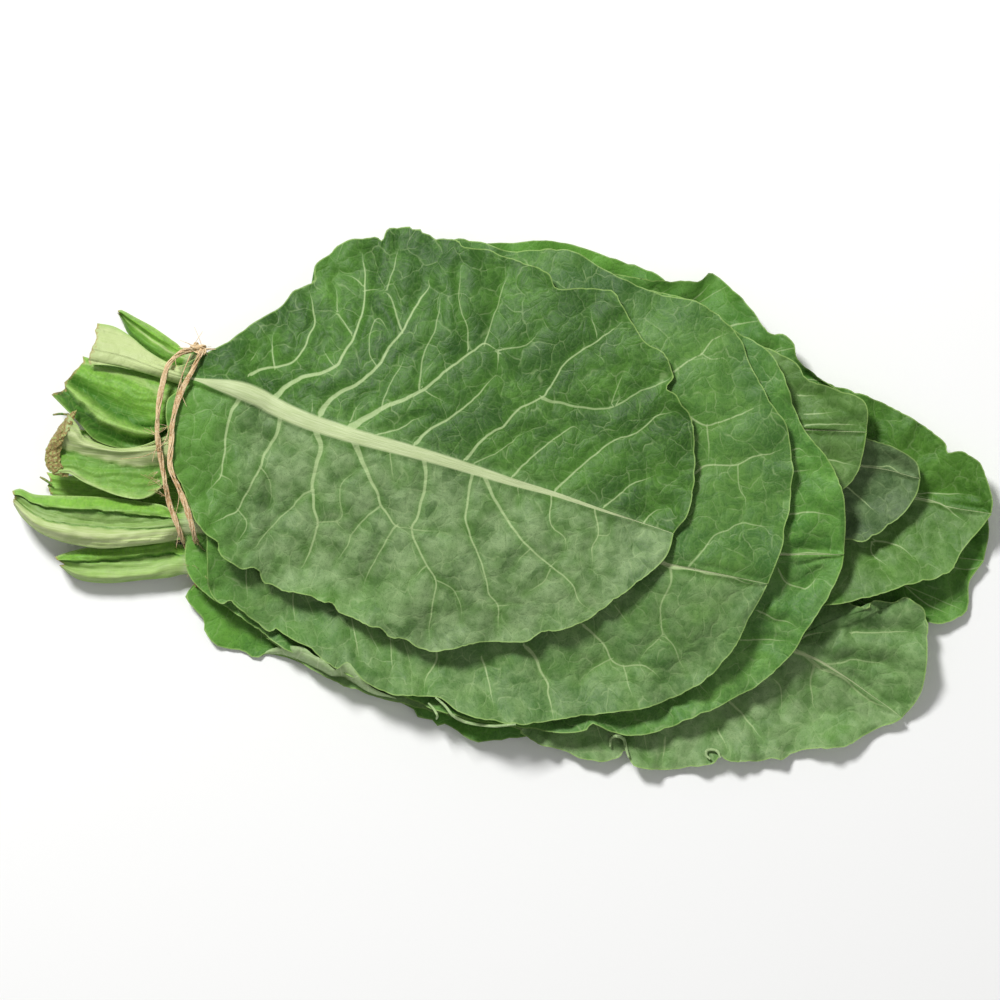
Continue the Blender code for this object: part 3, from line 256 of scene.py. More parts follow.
# Veins of the blades where they show: half-width at the start and at the end, and points
veinLines = {
    "leaf_1": {
        "main": [
            (1, 0.35, [(29, 23), (25.5, 17), (24, 9.5), (23, 1), (21.5, -9.5), (19, -13), (15.5, -17)]),
            (1.1, 0.3, [(47.5, 15.5), (46.5, 9.5), (43, 4), (40, -2), (39, -6), (35.5, -12.5), (32, -19),
                         (29, -25), (24.5, -27.5), (16, -31.5)]),
            (1.5, 0.5, [(64, 9), (65.5, 3), (64, -3.5), (62, -12.5), (62, -17), (62.5, -24), (64, -29.5),
                         (63, -35.5), (60, -44.5), (57, -50)]),
            (1.6, 0.4, [(81, 4), (83.5, -2), (86.5, -9), (90, -16.5), (92, -22.5), (95.5, -28), (99, -31.5),
                         (105.5, -33.5)]),
            (1, 0.3, [(111.5, -3.5), (112, -12.5), (110, -21), (108, -28.5), (105.5, -33), (108, -40.5),
                         (112, -48.5), (116, -55.5), (115.5, -63.5), (113.5, -74.5), (113.5, -82)]),
            (0.7, 0.3, [(132, -9.5), (130.5, -18.5), (129.5, -28.5), (131.5, -36.5), (135, -45), (138, -53),
                         (139.5, -61.5), (143.5, -67), (143.5, -79)]),
            (0.9, 0.3, [(138.5, -11.5), (142, -20), (146.5, -27.5), (152, -35.5), (158.5, -42.5),
                         (167, -49.5), (176.5, -57.5), (179, -64), (184.5, -69.5)]),
            (0.35, 0.25, [(167, -18.5), (167, -31.5), (173.5, -37.5), (172.5, -44.5)]),
            (0.35, 0.25, [(186, -25), (188, -35.5), (185, -42), (185, -51.5)]),
            (0.3, 0.25, [(208, -30), (212.5, -25.5), (219, -24)]),
            (0.7, 0.35, [(35, 35), (39, 37), (45.5, 38.5), (52, 40), (54.5, 42), (59, 48), (60.5, 53),
                         (62.5, 57.5), (62, 64), (60.5, 72)]),
            (1.5, 0.3, [(45.5, 25), (49.5, 29), (55.5, 33), (62.5, 35), (68.5, 36.5), (73, 39),
                         (75.5, 43.5), (79, 49.5), (81, 54.5), (83.5, 61), (84.5, 68), (85, 74.5),
                         (84.5, 81.5), (83.5, 89)]),
            (1.3, 0.45, [(66.5, 19.5), (70, 24), (75.5, 27.5), (82.5, 31), (87.5, 35.5), (92, 40.5),
                         (95.5, 46.5), (101, 53.5), (105, 60.5), (109, 68), (113, 73.5), (113, 76.5)]),
            (1.7, 0.45, [(81.5, 13), (88, 17), (95.5, 21), (103, 24), (110, 27.5), (115.5, 31.5), (120, 36),
                         (125.5, 40), (132, 45), (138, 48.5), (143.5, 45.5)]),
            (0.3, 0.25, [(91, 8.5), (100, 10.5), (106.5, 14.5), (112, 17)]),
            (0.8, 0.35, [(108, 5), (113, 10), (121, 14.5), (130, 21.5), (136, 27.5), (142.5, 34.5)]),
            (0.7, 0.35, [(130, -2), (135, 4), (140.5, 9), (147, 13), (153, 20), (158, 22), (164, 25),
                         (166, 28), (170.5, 36), (176, 42), (188, 50), (195, 55), (198, 58)]),
            (0.45, 0.25, [(150.5, -10), (156, -4), (164, 3), (170.5, 8), (177, 12), (181.5, 9)]),
            (0.5, 0.3, [(169, -16), (176, -9), (184.5, -2), (195.5, 6), (205, 9), (213, 16), (222, 18.5)]),
            (0.35, 0.25, [(190.5, -23), (196, -19), (202, -14), (213.5, -9)]),
        ],
        "fine": [
            (0.3, 0.25, [(21.5, -9.5), (26, -12), (26.5, -17)]),
            (0.3, 0.25, [(39, -6), (42, -10.5), (43.5, -13.5), (43.5, -19.5), (43, -24)]),
            (0.3, 0.25, [(29, -25), (33, -30.5), (31, -36), (26, -41.5)]),
            (0.5, 0.3, [(61.5, -16.5), (57.5, -18.5), (52, -24.5), (46, -29.5), (39, -38), (36.5, -41.5),
                         (32.5, -43.5)]),
            (0.3, 0.25, [(64, -30), (72, -30), (75, -27), (74, -19.5), (75, -13), (83.5, -6)]),
            (0.3, 0.25, [(72, -30), (78, -35.5)]),
            (0.45, 0.3, [(91, -23.5), (85.5, -28), (79, -35.5), (77, -40.5), (73.5, -46.5), (71.5, -49.5)]),
            (0.5, 0.3, [(99, -31.5), (94, -39), (90, -46.5), (86, -53.5), (84, -60.5)]),
            (0.3, 0.25, [(111.5, -49.5), (108, -53.5), (104.5, -58)]),
            (0.3, 0.25, [(105.5, -33.5), (113.5, -34), (119.5, -35.5)]),
            (0.3, 0.25, [(96.5, 0.5), (97, -8), (99, -14.5)]),
            (0.3, 0.25, [(116.5, -56), (122.5, -58.5), (126.5, -64), (127.5, -69.5), (127.5, -75)]),
            (0.25, 0.25, [(143.5, -67), (153.5, -66.5)]),
            (0.3, 0.25, [(167, -49.5), (172.5, -45)]),
            (0.3, 0.25, [(166.5, -51.5), (163, -57), (154.5, -62.5)]),
            (0.25, 0.25, [(157.5, -42.5), (153.5, -46), (150.5, -51.5)]),
            (0.3, 0.25, [(152.5, -15.5), (153, -23)]),
            (0.25, 0.25, [(188, -36), (192.5, -35.5), (193.5, -29.5)]),
            (0.4, 0.25, [(45, 38.5), (43.5, 49), (45.5, 55.5)]),
            (0.25, 0.25, [(35, 42), (39, 48)]),
            (0.35, 0.25, [(79, 53), (75.5, 58), (73, 62.5), (72.5, 69), (71.5, 76.5)]),
            (0.25, 0.25, [(73, 62.5), (68, 59)]),
            (0.25, 0.25, [(71, 39), (68.5, 42.5), (66.5, 46), (68, 49.5)]),
            (0.3, 0.25, [(85, 72), (90, 72.5), (94.5, 72)]),
            (0.3, 0.25, [(83.5, 75), (78, 79), (73.5, 80)]),
            (0.5, 0.3, [(101, 54.5), (99, 60.5), (97, 68), (94.5, 72), (96.5, 78), (98.5, 86),
                         (100.5, 93.5)]),
            (0.25, 0.25, [(90, 38.5), (87, 45), (87.5, 53.5), (90, 60), (93.5, 57), (96.5, 51)]),
            (0.25, 0.25, [(62, 19), (61.5, 27)]),
            (0.3, 0.25, [(79, 15), (81, 19.5), (85.5, 24.5)]),
            (0.35, 0.25, [(92.5, 20), (94, 26), (97, 32), (101, 39), (103, 45)]),
            (0.45, 0.3, [(109, 28), (110, 38), (111.5, 45), (115.5, 53.5), (117.5, 62.5), (118.5, 70)]),
            (0.25, 0.25, [(112, 27.5), (117.5, 24), (122.5, 21.5)]),
            (0.35, 0.25, [(138, 48.5), (140.5, 57), (143, 64), (146, 74), (149.5, 82)]),
            (0.35, 0.25, [(130.5, 46), (130, 55), (126.5, 68), (127.5, 83)]),
            (0.4, 0.3, [(143.5, 45.5), (156, 48), (163, 55)]),
            (0.35, 0.3, [(143.5, 45), (143.5, 38), (142.5, 34.5)]),
            (0.8, 0.35, [(164, 24), (172, 22), (184, 20), (192.5, 20), (202, 25), (208, 28), (217.5, 32),
                         (221, 36)]),
            (0.25, 0.25, [(187.5, 52), (185, 60), (184, 65)]),
            (0.25, 0.25, [(192.5, 20), (195.5, 27), (198, 34), (200.5, 38.5)]),
            (0.3, 0.25, [(133.5, -4), (142, 0), (150, 5), (153, 8), (158, 10)]),
        ],
    },
    "leaf_2": {
        "main": [
            (0.5, 0.3, [(231, -8.5), (235.5, -5), (249, -5), (255.5, -1.5), (264, 0), (270.5, 2.5)]),
            (0.45, 0.3, [(228, 16.5), (235, 12.5), (244, 15), (253, 18.5), (261, 22)]),
            (0.4, 0.3, [(221, 36), (227.5, 40.5), (233.5, 44), (238, 50), (246.5, 54)]),
            (1.2, 0.4, [(216, -48), (220, -50), (227.5, -50.5), (237.5, -53), (246.5, -54.5), (253, -57),
                         (255.5, -57.5)]),
            (0.5, 0.3, [(116.5, -88), (116, -92), (112, -99), (111, -105)]),
            (0.4, 0.3, [(136.5, -91), (138.5, -96), (139.5, -101), (141, -107), (141.5, -113)]),
            (0.9, 0.4, [(156.5, -86), (160.5, -91), (163, -97), (166, -102), (166, -106), (167, -112),
                         (168.5, -117)]),
            (0.6, 0.3, [(181.5, -76), (186, -80), (191, -85), (193.5, -91), (199.5, -94), (206.5, -93.5),
                         (211, -95), (216, -100)]),
        ],
        "fine": [
            (0.4, 0.3, [(235.5, 12), (236.5, 3), (236.5, -5)]),
            (0.3, 0.25, [(249, -5.5), (250, -15.5), (253, -19.5), (252.5, -27)]),
            (0.25, 0.25, [(233.5, 44), (238, 41.5), (244, 42), (245.5, 36.5)]),
            (0.5, 0.3, [(227.5, -49.5), (232.5, -44), (239, -36.5), (245, -33.5), (251, -30.5),
                         (259.5, -32), (266.5, -32)]),
            (0.6, 0.3, [(219.5, -50.5), (219.5, -57.5), (216, -65), (215.5, -71.5), (216.5, -79),
                         (221, -84.5), (224.5, -93), (227.5, -98)]),
            (0.25, 0.25, [(216.5, -80), (208, -88), (206, -93.5)]),
            (0.3, 0.25, [(193.5, -91), (185, -96), (181.5, -101)]),
            (0.35, 0.25, [(199.5, -94.5), (201, -101), (204.5, -111)]),
            (0.3, 0.25, [(195.5, -68), (200, -73), (202, -78)]),
        ],
    },
    "leaf_3": {
        "main": [
            (0.6, 0.4, [(268.5, -44.5), (283.5, -44), (295, -45)]),
            (0.35, 0.3, [(272.5, -26.5), (283.5, -26), (292, -27.5)]),
            (0.35, 0.3, [(268, -51.5), (271, -57), (277, -59), (280.5, -59.5), (286, -53)]),
            (0.35, 0.25, [(259, -69.5), (266.5, -73.5), (272.5, -74.5), (277, -78)]),
            (0.25, 0.25, [(251, -82.5), (264.5, -82.5), (274, -83)]),
            (0.3, 0.25, [(274, 2), (277, 2), (281, -1.5)]),
            (0.3, 0.25, [(273, -8), (284, -7)]),
        ],
    },
    "leaf_4": {
        "main": [
            (0.3, 0.25, [(279.5, 12.5), (292, 13), (305, 12.5)]),
            (0.3, 0.25, [(289.5, -2.5), (302.5, -5.5)]),
            (0.3, 0.25, [(277, 26), (285.5, 25.5)]),
            (0.25, 0.25, [(280, 17.5), (293.5, 18.5)]),
        ],
    },
    "leaf_5": {
        "main": [
            (0.35, 0.2, [(304.5, -5.5), (313.5, -5.5), (318.5, -6), (323, -9), (327, -13)]),
            (0.3, 0.25, [(298, -14.5), (304.5, -19.5), (309.5, -24), (312.5, -27)]),
        ],
    },
    "leaf_6": {
        "main": [
            (0.5, 0.3, [(328, -20), (335.5, -21), (343, -23.5), (346.5, -26.5), (351.5, -30.5)]),
            (0.45, 0.3, [(310.5, -38.5), (320, -40), (324.5, -43), (328.5, -46.5)]),
            (0.3, 0.25, [(309.5, -39), (310.5, -45), (318, -51)]),
            (0.25, 0.25, [(329, -17.5), (341.5, -17.5), (354, -18)]),
        ],
    },
    "leaf_8": {
        "main": [
            (1.3, 0.3, [(276, -87.5), (279.5, -89), (284, -93), (288, -95.5), (297, -99.5), (303.5, -105.5),
                         (310, -110), (315, -112.5), (320, -112.5)]),
            (0.3, 0.25, [(267.5, -101), (269.5, -103.5), (270, -110), (270, -116)]),
            (0.5, 0.3, [(247.5, -111), (252.5, -116), (258, -123), (261.5, -127.5)]),
            (0.35, 0.25, [(242, -123), (244, -127), (246, -133)]),
            (0.4, 0.25, [(279.5, -81.5), (286, -79.5), (293, -79)]),
            (0.35, 0.25, [(301, -79.5), (310, -79.5), (320, -79), (330, -79.5)]),
            (0.5, 0.3, [(218, -127), (217, -138)]),
        ],
        "fine": [
            (0.6, 0.3, [(289, -93.5), (295.5, -93), (302, -91.5), (312.5, -93), (319, -94.5)]),
            (0.6, 0.3, [(284, -94), (283, -100), (283.5, -107), (284, -112), (287, -116)]),
        ],
    },
}

# Petioles from the upper margin (-1) to the lower one (1): share of the half-width, height above the
# petiole, how pale the skin is, and how bright its green is, which also paints the light on its ridges
# and the shade in its grooves
stemSkins = {
    "leaf_1": [(-1, 0, 0.6, 0.9), (-0.85, 0.3, 1, 1), (0, 0, 1, 1), (0.85, 0.3, 1, 1), (1, 0, 0.8, 1)],
    "leaf_2": [(-1, 0, 0.9, 1), (0, 0.8, 1, 1), (0.16, 0.6, 1, 1), (0.24, -0.4, 0.1, 0.3),
               (0.45, 0.2, 0.05, 0.5), (0.8, 0.8, 0.1, 0.6), (0.9, 1.2, 0.3, 0.9), (0.96, 1.2, 0.8, 1),
               (1, 0.6, 0.7, 1)],
    "leaf_3": [(-1, 0, 0.3, 1), (-0.85, 1.8, 0.05, 1), (-0.6, 2.4, 0.05, 0.9), (-0.48, 2.2, 0.3, 0.8),
               (-0.44, -0.4, 0, 0.1), (-0.3, -0.2, 0.3, 0.3), (0.08, 0.2, 0.45, 0.4),
               (0.14, -0.8, 0.1, 0), (0.22, 0.4, 0.9, 1), (0.6, 0.6, 1, 1), (1, 0, 0.9, 1)],
    "leaf_4": [(-1, 0, 0.1, 0.7), (-0.85, 0.6, 0.1, 0.8), (-0.74, 0.4, 0.5, 0.9), (-0.66, 0.7, 0.05, 0.8),
               (-0.3, 0.4, 0, 0.75), (-0.02, -0.6, 0, 0.3), (0.2, -2.4, 0, 0), (0.3, 0.4, 0.1, 0.7),
               (0.38, 3, 0.25, 1), (0.5, 2.9, 0.35, 1), (0.58, 0.6, 0, 0.5), (0.66, -1.4, 0, 0),
               (0.84, -1, 0, 0.1), (1, 0, 0.1, 0.4)],
    "leaf_8": [(-1, 0, 0.3, 1), (-0.8, 1.6, 0, 1), (-0.5, 2, 0.1, 0.9), (-0.42, -0.4, 0, 0.05),
               (-0.32, 0.2, 0.3, 0.8), (0.1, 0.4, 0.5, 0.9), (0.6, 0.4, 0.6, 1), (1, 0, 0.3, 1)],
    "leaf_9": [(-1, 0, 0.2, 1), (-0.5, 0.8, 0, 1), (-0.14, 0.2, 0.1, 0.9), (0, 0.5, 0.75, 1),
               (0.14, 0.2, 0.1, 0.7), (0.5, 0.5, 0, 0.5), (1, 0, 0, 0.2)],
    "leaf_10": [(-1, 0, 0.3, 1), (-0.5, 1, 0.1, 1), (0.1, 0.2, 0.1, 1), (0.4, 1.2, 0.2, 1),
                (1, 0.4, 0.1, 0.8)],
    "others": [(-1, 0, 0, 0.5), (-0.6, 0, 0, 0.5), (-0.4, 0, 0.8, 0.8), (0.4, 0, 0.8, 0.8), (0.6, 0, 0, 0.4),
               (1, 0, 0, 0.3)],
}
# How fast the folds of a petiole run across it, in shares for a millimetre, from where along it
stemSlants = {"leaf_4": (0.017, -32), "leaf_3": (0.002, -30), "leaf_9": (0.006, -12), "leaf_2": (0.003, -25)}
# Torn cut ends: share across the petiole and how far the end lies inwards
stemEnds = {
    "leaf_1": [(-1, 0), (-0.65, -0.3), (-0.29, 1.1), (0.24, -0.2), (0.78, -0.8), (1, 0)],
    "leaf_2": [(-1, 0), (-0.5, 1.5), (0, 0), (0.5, 2), (1, 0)],
    "leaf_3": [(-1, -0.3), (-0.4, 0.8), (0.2, 0), (1, 0)],
    "leaf_4": [(-1, -1), (-0.85, 1), (-0.5, 0), (0, -1.4), (0.3, 1), (0.6, 0.6), (0.85, -1.6), (1, -1.4)],
    "leaf_8": [(-1, -0.6), (-0.4, 0.4), (0, 2.4), (0.3, 1), (0.6, -1), (1, 0)],
    "leaf_10": [(-1, 0), (-0.4, 1), (0.2, -0.8), (1, 0.5)],
}
# Where across the petiole its thick rib is, and how high the rib stands
stemRibs = {"leaf_2": (-0.3, 0.8), "leaf_3": (0.55, 1.0), "leaf_4": (0, 0.25), "leaf_8": (0.35, 1.0),
            "leaf_9": (0, 0.3), "leaf_10": (0, 0.3)}

# How finely each leaf is made: millimetres between its rows and between its columns
fineness = {
    "leaf_1": (1.08, 1.08), "leaf_2": (1.48, 1.42), "leaf_3": (1.62, 1.56), "leaf_4": (1.8, 1.8),
    "leaf_5": (1.8, 1.7), "leaf_6": (1.6, 1.6), "leaf_7": (1.9, 1.9), "leaf_8": (1.5, 1.5),
    "leaf_9": (1.7, 1.7), "leaf_10": (1.9, 1.9),
}

# How far the margin of each leaf stands up from the leaf below, on the left and on the right
rimLifts = {
    "leaf_1": (1.2, 3.2), "leaf_2": (1.0, 2.6), "leaf_3": (1.6, 2.4), "leaf_4": (1.6, 1.6),
    "leaf_5": (1.6, 1.6), "leaf_6": (1.6, 1.6), "leaf_7": (1.4, 1.0), "leaf_8": (1.8, 1.2),
    "leaf_9": (1.2, 1.0), "leaf_10": (1.0, 0.6),
}

# How much stronger than the others the relief of a leaf is
reliefs = {"leaf_8": 1.7, "leaf_6": 1.25, "leaf_3": 1.15}

blade = {
    "thick": 0.55,  # a real blade, thinner than its solid
    "rimWidth": 2.0,  # the margin thins out over this much
    "fineEnd": 0.9994,  # the last row of the fine leaf
    "rowCrowding": 0.2,
    "ribColumns": 5,
    "stemSpacing": 1.6,
    "tornRows": 6,  # rows of the petiole that follow its torn end
    "reach": 12.0,  # how far from a vein or from the margin the blade still feels it
    "blister": 1.7,  # height of the blisters between the veins
    "blisterWidth": 4.2,
    "cell": 9.0,  # width of a mesh of the fine net of veins
    "warps": ((2.2, ((27.0, 0), (23.0, 2))), (0.9, ((10.5, 4), (9.3, 5)))),  # waves that bend the net
    "apart": 61.0,  # the patterns of two leaves lie this far apart
    "pucker": 0.4,  # height of the pucker in each mesh of the net
    "groove": 0.55,  # depth of the groove over a vein
    "keel": 0.9,  # height of a vein under the blade
    "swell": 0.9,  # slow swells of the whole blade
    "swellLength": 34.0,
    "rimWaves": ((31.0, 1.6), (12.5, 0.8)),  # lengths and heights of the waves of the margin
    "rimBand": 12.0,
    "teeth": ((13.0, 0.9), (5.3, 0.5)),  # lengths and depths of the scallops of the margin
    "tuck": 0.12,  # air between two leaves
    "rolled": 0.5,  # thickness of a rolled margin
}


def smoothLine(points, steps=8):
    points = np.asarray(points, float)
    padded = np.vstack([2 * points[0] - points[1], points, 2 * points[-1] - points[-2]])
    u = np.arange(steps)[:, None] / steps
    pieces = []
    for a, b, c, d in zip(padded[:-3], padded[1:-2], padded[2:-1], padded[3:]):
        pieces.append(0.5 * (2 * b + (c - a) * u + (2 * a - 5 * b + 4 * c - d) * u**2
                             + (3 * b - a - 3 * c + d) * u**3))
    return np.vstack(pieces + [points[-1:]])


def lengthsAlong(line):
    return np.concatenate([[0.0], np.cumsum(np.linalg.norm(np.diff(line, axis=0), axis=1))])


def atLengths(line, wanted):
    walked = lengthsAlong(line)
    return np.column_stack([np.interp(wanted, walked, line[:, k]) for k in range(line.shape[1])])


def smoothStep(value, low, high):
    u = np.clip((value - low) / (high - low), 0, 1)
    return u * u * (3 - 2 * u)


# A smooth curve through the values of each row, which stand at uneven places
def curveThrough(places, values, wanted):
    gap = np.diff(places, axis=1)
    rate = np.diff(values, axis=1) / gap
    slope = np.empty_like(values)
    slope[:, 0], slope[:, -1] = rate[:, 0], rate[:, -1]
    slope[:, 1:-1] = (rate[:, :-1] * gap[:, 1:] + rate[:, 1:] * gap[:, :-1]) / (gap[:, :-1] + gap[:, 1:])
    left = (wanted[:, :, None] >= places[:, None, 1:-1]).sum(axis=2)

    def pick(field, index):
        return np.take_along_axis(field, index, axis=1)

    width = pick(gap, left)
    u = (wanted - pick(places, left)) / width
    start, end = pick(values, left), pick(values, left + 1)
    startSlope, endSlope = pick(slope, left) * width, pick(slope, left + 1) * width
    return ((2 * u**3 - 3 * u**2 + 1) * start + (u**3 - 2 * u**2 + u) * startSlope
            + (3 * u**2 - 2 * u**3) * end + (u**3 - u**2) * endSlope)


# Rows of the solid, as shares of the petiole and of the blade
def solidRows():
    even = np.arange(solid["bladeRows"] + 1) / solid["bladeRows"]
    crowded = 0.5 * (1 - np.cos(math.pi * even))
    mix = solid["rowCrowding"]
    stemShares = np.arange(solid["stemRows"]) / solid["stemRows"]
    return stemShares, solid["bladeEnd"] * ((1 - mix) * even + mix * crowded)


# The leaf's midrib and outlines at the same shares of the petiole and of the blade
def leafLines(shape, stemShares, bladeShares):
    lines = {}
    for side in ("mid", "left", "right"):
        line = smoothLine(shape[side])
        walked = lengthsAlong(line)
        tie, whole = walked[np.argmax(line[:, 0] > solid["tieX"])], walked[-1]
        wanted = np.concatenate([tie * stemShares, tie + (whole - tie) * bladeShares])
        lines[side] = atLengths(line, wanted)
        if side == "mid":
            lines["walked"] = wanted - tie
            lines["stemLength"], lines["bladeLength"] = tie, whole - tie
    lines["along"] = np.concatenate([stemShares - 1, bladeShares])
    along = lines["along"]
    lines["rib"] = shape["stem"][0] * np.where(along < 0, 1 - solid["petioleFlare"] * along,
                                               (1 - np.clip(along, 0, 1)) ** solid["ribTaper"])
    return lines


# Distances from the midrib of the columns k, which crowd on the rib as the solid's do
def columnPlaces(lines, side, k):
    half = np.linalg.norm(lines[side] - lines["mid"], axis=1)
    rib = lines["rib"]
    inner = np.minimum(rib, solid["ribShare"] * half)[:, None]
    winged = smoothStep(half - rib, *solid["wingWidths"])[:, None]
    columns = solid["sideColumns"]
    half = half[:, None]
    evenly = half * k / columns
    byRib = np.where(k <= 1, inner * k, inner + (half - inner) * (k - 1) / (columns - 1))
    return evenly * (1 - winged) + byRib * winged, half


# Places of all columns from the left margin to the right one: distance from the midrib, with the
# left side negative, share of the half-width, and plan
def acrossLeaf(lines, k):
    offs, shares, plans = [], [], []
    for side, sign in (("left", -1), ("right", 1)):
        distance, half = columnPlaces(lines, side, k)
        share = distance / half
        plan = lines["mid"][:, None] + (lines[side] - lines["mid"])[:, None] * share[..., None]
        offs.append(sign * distance)
        shares.append(sign * share)
        plans.append(plan)
    zero = np.zeros((len(lines["mid"]), 1))
    off = np.concatenate([offs[0][:, ::-1], zero, offs[1]], axis=1)
    share = np.concatenate([shares[0][:, ::-1], zero, shares[1]], axis=1)
    plan = np.concatenate([plans[0][:, ::-1], lines["mid"][:, None], plans[1]], axis=1)
    return off, share, plan


# Depth of the midrib at each point, rounded off across it by the power
def ribDepth(shape, lines, off, power):
    along = lines["along"][:, None]
    rib = np.maximum(lines["rib"], solid["ribLeast"])[:, None]
    inside = np.clip(1 - (off / rib) ** 2, 0, 1) ** power
    taper = np.where(along < 0, 1.0, (1 - np.clip(along, 0, 1)) ** solid["ribDepthTaper"])
    return shape["stem"][1] * taper * inside


# Share of that depth by which the midrib stands above the blade
def ribRise(lines):
    along = lines["along"][:, None]
    return solid["ribRise"] * np.clip(1 - along / solid["ribSinksBy"], solid["ribRiseLeast"], 1)


# Height of the blade's sheet at the solid's own rows and columns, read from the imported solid
def solidSheet(name, shape):
    corners = np.array([v.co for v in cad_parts[name].data.vertices]) / millimetre
    corners[:, :2] += bunchCentre
    lines = leafLines(shape, *solidRows())
    off, share, plan = acrossLeaf(lines, np.arange(1, solid["sideColumns"] + 1))
    flat = plan.reshape(-1, 2)
    top = np.empty(len(flat))
    for n, spot in enumerate(flat):
        away = np.hypot(*(corners[:, :2] - spot).T)
        top[n] = corners[away < away.min() + 0.02, 2].max()
    rise = ribDepth(shape, lines, off, 0.5) * ribRise(lines)
    return lines, top.reshape(off.shape) - solid["thick"] - rise


# How a side vein runs
sideVein = {
    "taper": 1.8,  # it narrows fast past its start
    "slim": 0.72,
    "flare": (0.45, 3.6),  # it is wider where it leaves the midrib: by this share, over this length
    "root": (2.2, 0.5),  # it starts inside the midrib, by so much of its half-width over the other
    "fade": (0.42, 10.0),  # it sinks into the blade at its end: by this half-width, over this length
    "wander": (0.4, 13.0, 11.0),  # how far it strays, and the lengths of its turns
    "plain": 0.3,  # half-width given where no vein is near
}


# Distance of each point to the nearest of some lines, up to reach: signed by the side it is on, plain,
# the line's half-width there, and how far along it is
def nearestLine(points, lines, reach, steps=4):
    away = np.full(len(points), reach)
    signed, width, walked = away.copy(), np.full(len(points), sideVein["plain"]), np.zeros(len(points))
    for first, last, spots in lines:
        line = smoothLine(spots, steps)
        if steps > 1:
            back = np.subtract(spots[0], spots[1])
            inwards, spare = sideVein["root"]
            root = spots[0] + inwards * max(first - spare, 0.05) * back / np.hypot(*back)
            line = wandering(np.vstack([root, line]))
        length = lengthsAlong(line)
        for n in range(len(line) - 1):
            a, b = line[n], line[n + 1]
            low, high = np.minimum(a, b) - reach, np.maximum(a, b) + reach
            near = np.flatnonzero(((points > low) & (points < high)).all(axis=1))
            if not len(near):
                continue
            to = points[near] - a
            step = b - a
            u = np.clip(to @ step / (step @ step), 0, 1)
            gone = np.hypot(*(to - u[:, None] * step).T)
            closer = gone < away[near]
            near, u, gone, to = near[closer], u[closer], gone[closer], to[closer]
            away[near] = gone
            signed[near] = np.where(step[0] * to[:, 1] - step[1] * to[:, 0] < 0, -gone, gone)
            walked[near] = length[n] + u * (length[n + 1] - length[n])
            slim = last + (first - last) * (1 - walked[near] / length[-1]) ** sideVein["taper"]
            slim += sideVein["flare"][0] * first * np.exp(-walked[near] / sideVein["flare"][1])
            ending = smoothStep(walked[near], length[-1] - sideVein["fade"][1], length[-1])
            width[near] = sideVein["slim"] * (slim - sideVein["fade"][0] * ending)
    return {"signed": signed, "away": away, "width": width, "walked": walked}


# A vein wanders a little
def wandering(line):
    size, long, short = sideVein["wander"]
    return line + size * np.column_stack([drift(line, long, 1), drift(line, short, 4)])


# Ruled veins, in shares of the midrib and of the half-width
ruledStyle = {
    "starts": (0.06, 0.93, 0.085),  # first, last and distance
    "lag": 0.03,  # those on the right start this much later
    "uneven": 0.012,
    "lean": (0.1, 0.16),
    "stations": (0, 0.25, 0.5, 0.75, 0.93),
    "strength": 0.9,
}


# Side veins of a leaf whose own don't show: they leave the midrib in turn and run out to the margin
def ruledVeins(lines, seed):
    draw = np.random.default_rng(seed)
    found, twigs = [], []
    mid, along, uneven = lines["mid"], lines["along"], ruledStyle["uneven"]
    for start in np.arange(*ruledStyle["starts"]):
        for side in ("left", "right"):
            begin = start + ruledStyle["lag"] * (side == "right") + draw.uniform(-uneven, uneven)
            lean = draw.uniform(*ruledStyle["lean"]) * (1 - 0.6 * begin)
            spots = []
            for share in ruledStyle["stations"]:
                at = begin + lean * share**1.25
                middle = np.array([np.interp(at, along, mid[:, k]) for k in (0, 1)])
                edge = np.array([np.interp(at, along, lines[side][:, k]) for k in (0, 1)])
                spots.append(middle + (edge - middle) * share + draw.uniform(-1, 1, 2) * min(share * 3, 1))
            found.append((ruledStyle["strength"] * (1 - 0.75 * begin), 0.25, spots))
            fork = spots[2]
            twigs.append((0.3, 0.2, [fork, (fork + spots[4]) / 2 + draw.uniform(3, 7) * np.array([1, 0.2]),
                                     spots[4] + draw.uniform(7, 12) * np.array([1, 0.1])]))
    return {"main": found, "fine": twigs}


# A leaf has its own veins where they show, and ruled ones nearer the tie than those. The top leaf
# shows all of its own
def leafVeins(name, lines, seed):
    own = veinLines.get(name, {})
    if name == "leaf_1":
        return own
    ruled = ruledVeins(lines, seed)
    starts = [spots[0][0] for kind in own.values() for _, _, spots in kind]
    hidden = min(starts, default=1000) - 5
    return {key: own.get(key, []) + [vein for vein in ruled[key] if max(spot[0] for spot in vein[2]) < hidden]
            for key in ("main", "fine")}


tipReach = 9.0  # a stretch that ends this near the tip replaces it


# The outline of the solid with the stretches of the fine margin in their places
def fineOutline(name, shape, side):
    outline = np.array(shape[side], float)
    for stretch in fineMargins.get(name, {}).get(side, []):
        first, last = (np.argmin(np.hypot(*(outline - spot).T)) for spot in (stretch[0], stretch[-1]))
        if np.hypot(*(outline[-1] - stretch[-1])) < tipReach:
            last = len(outline) - 1
        outline = np.vstack([outline[:first], stretch, outline[last + 1:]])
    return outline


# Round scallops with narrow notches between them, of uneven lengths and depths
def scallops(walked, length, turn):
    s = walked / length + 0.35 * np.sin(1.9 * walked / length + turn)
    depth = 0.6 + 0.4 * np.sin(0.83 * walked / length + 2.3 * turn)
    return depth * (np.abs(np.sin(math.pi * s)) ** 0.8 - 0.6)


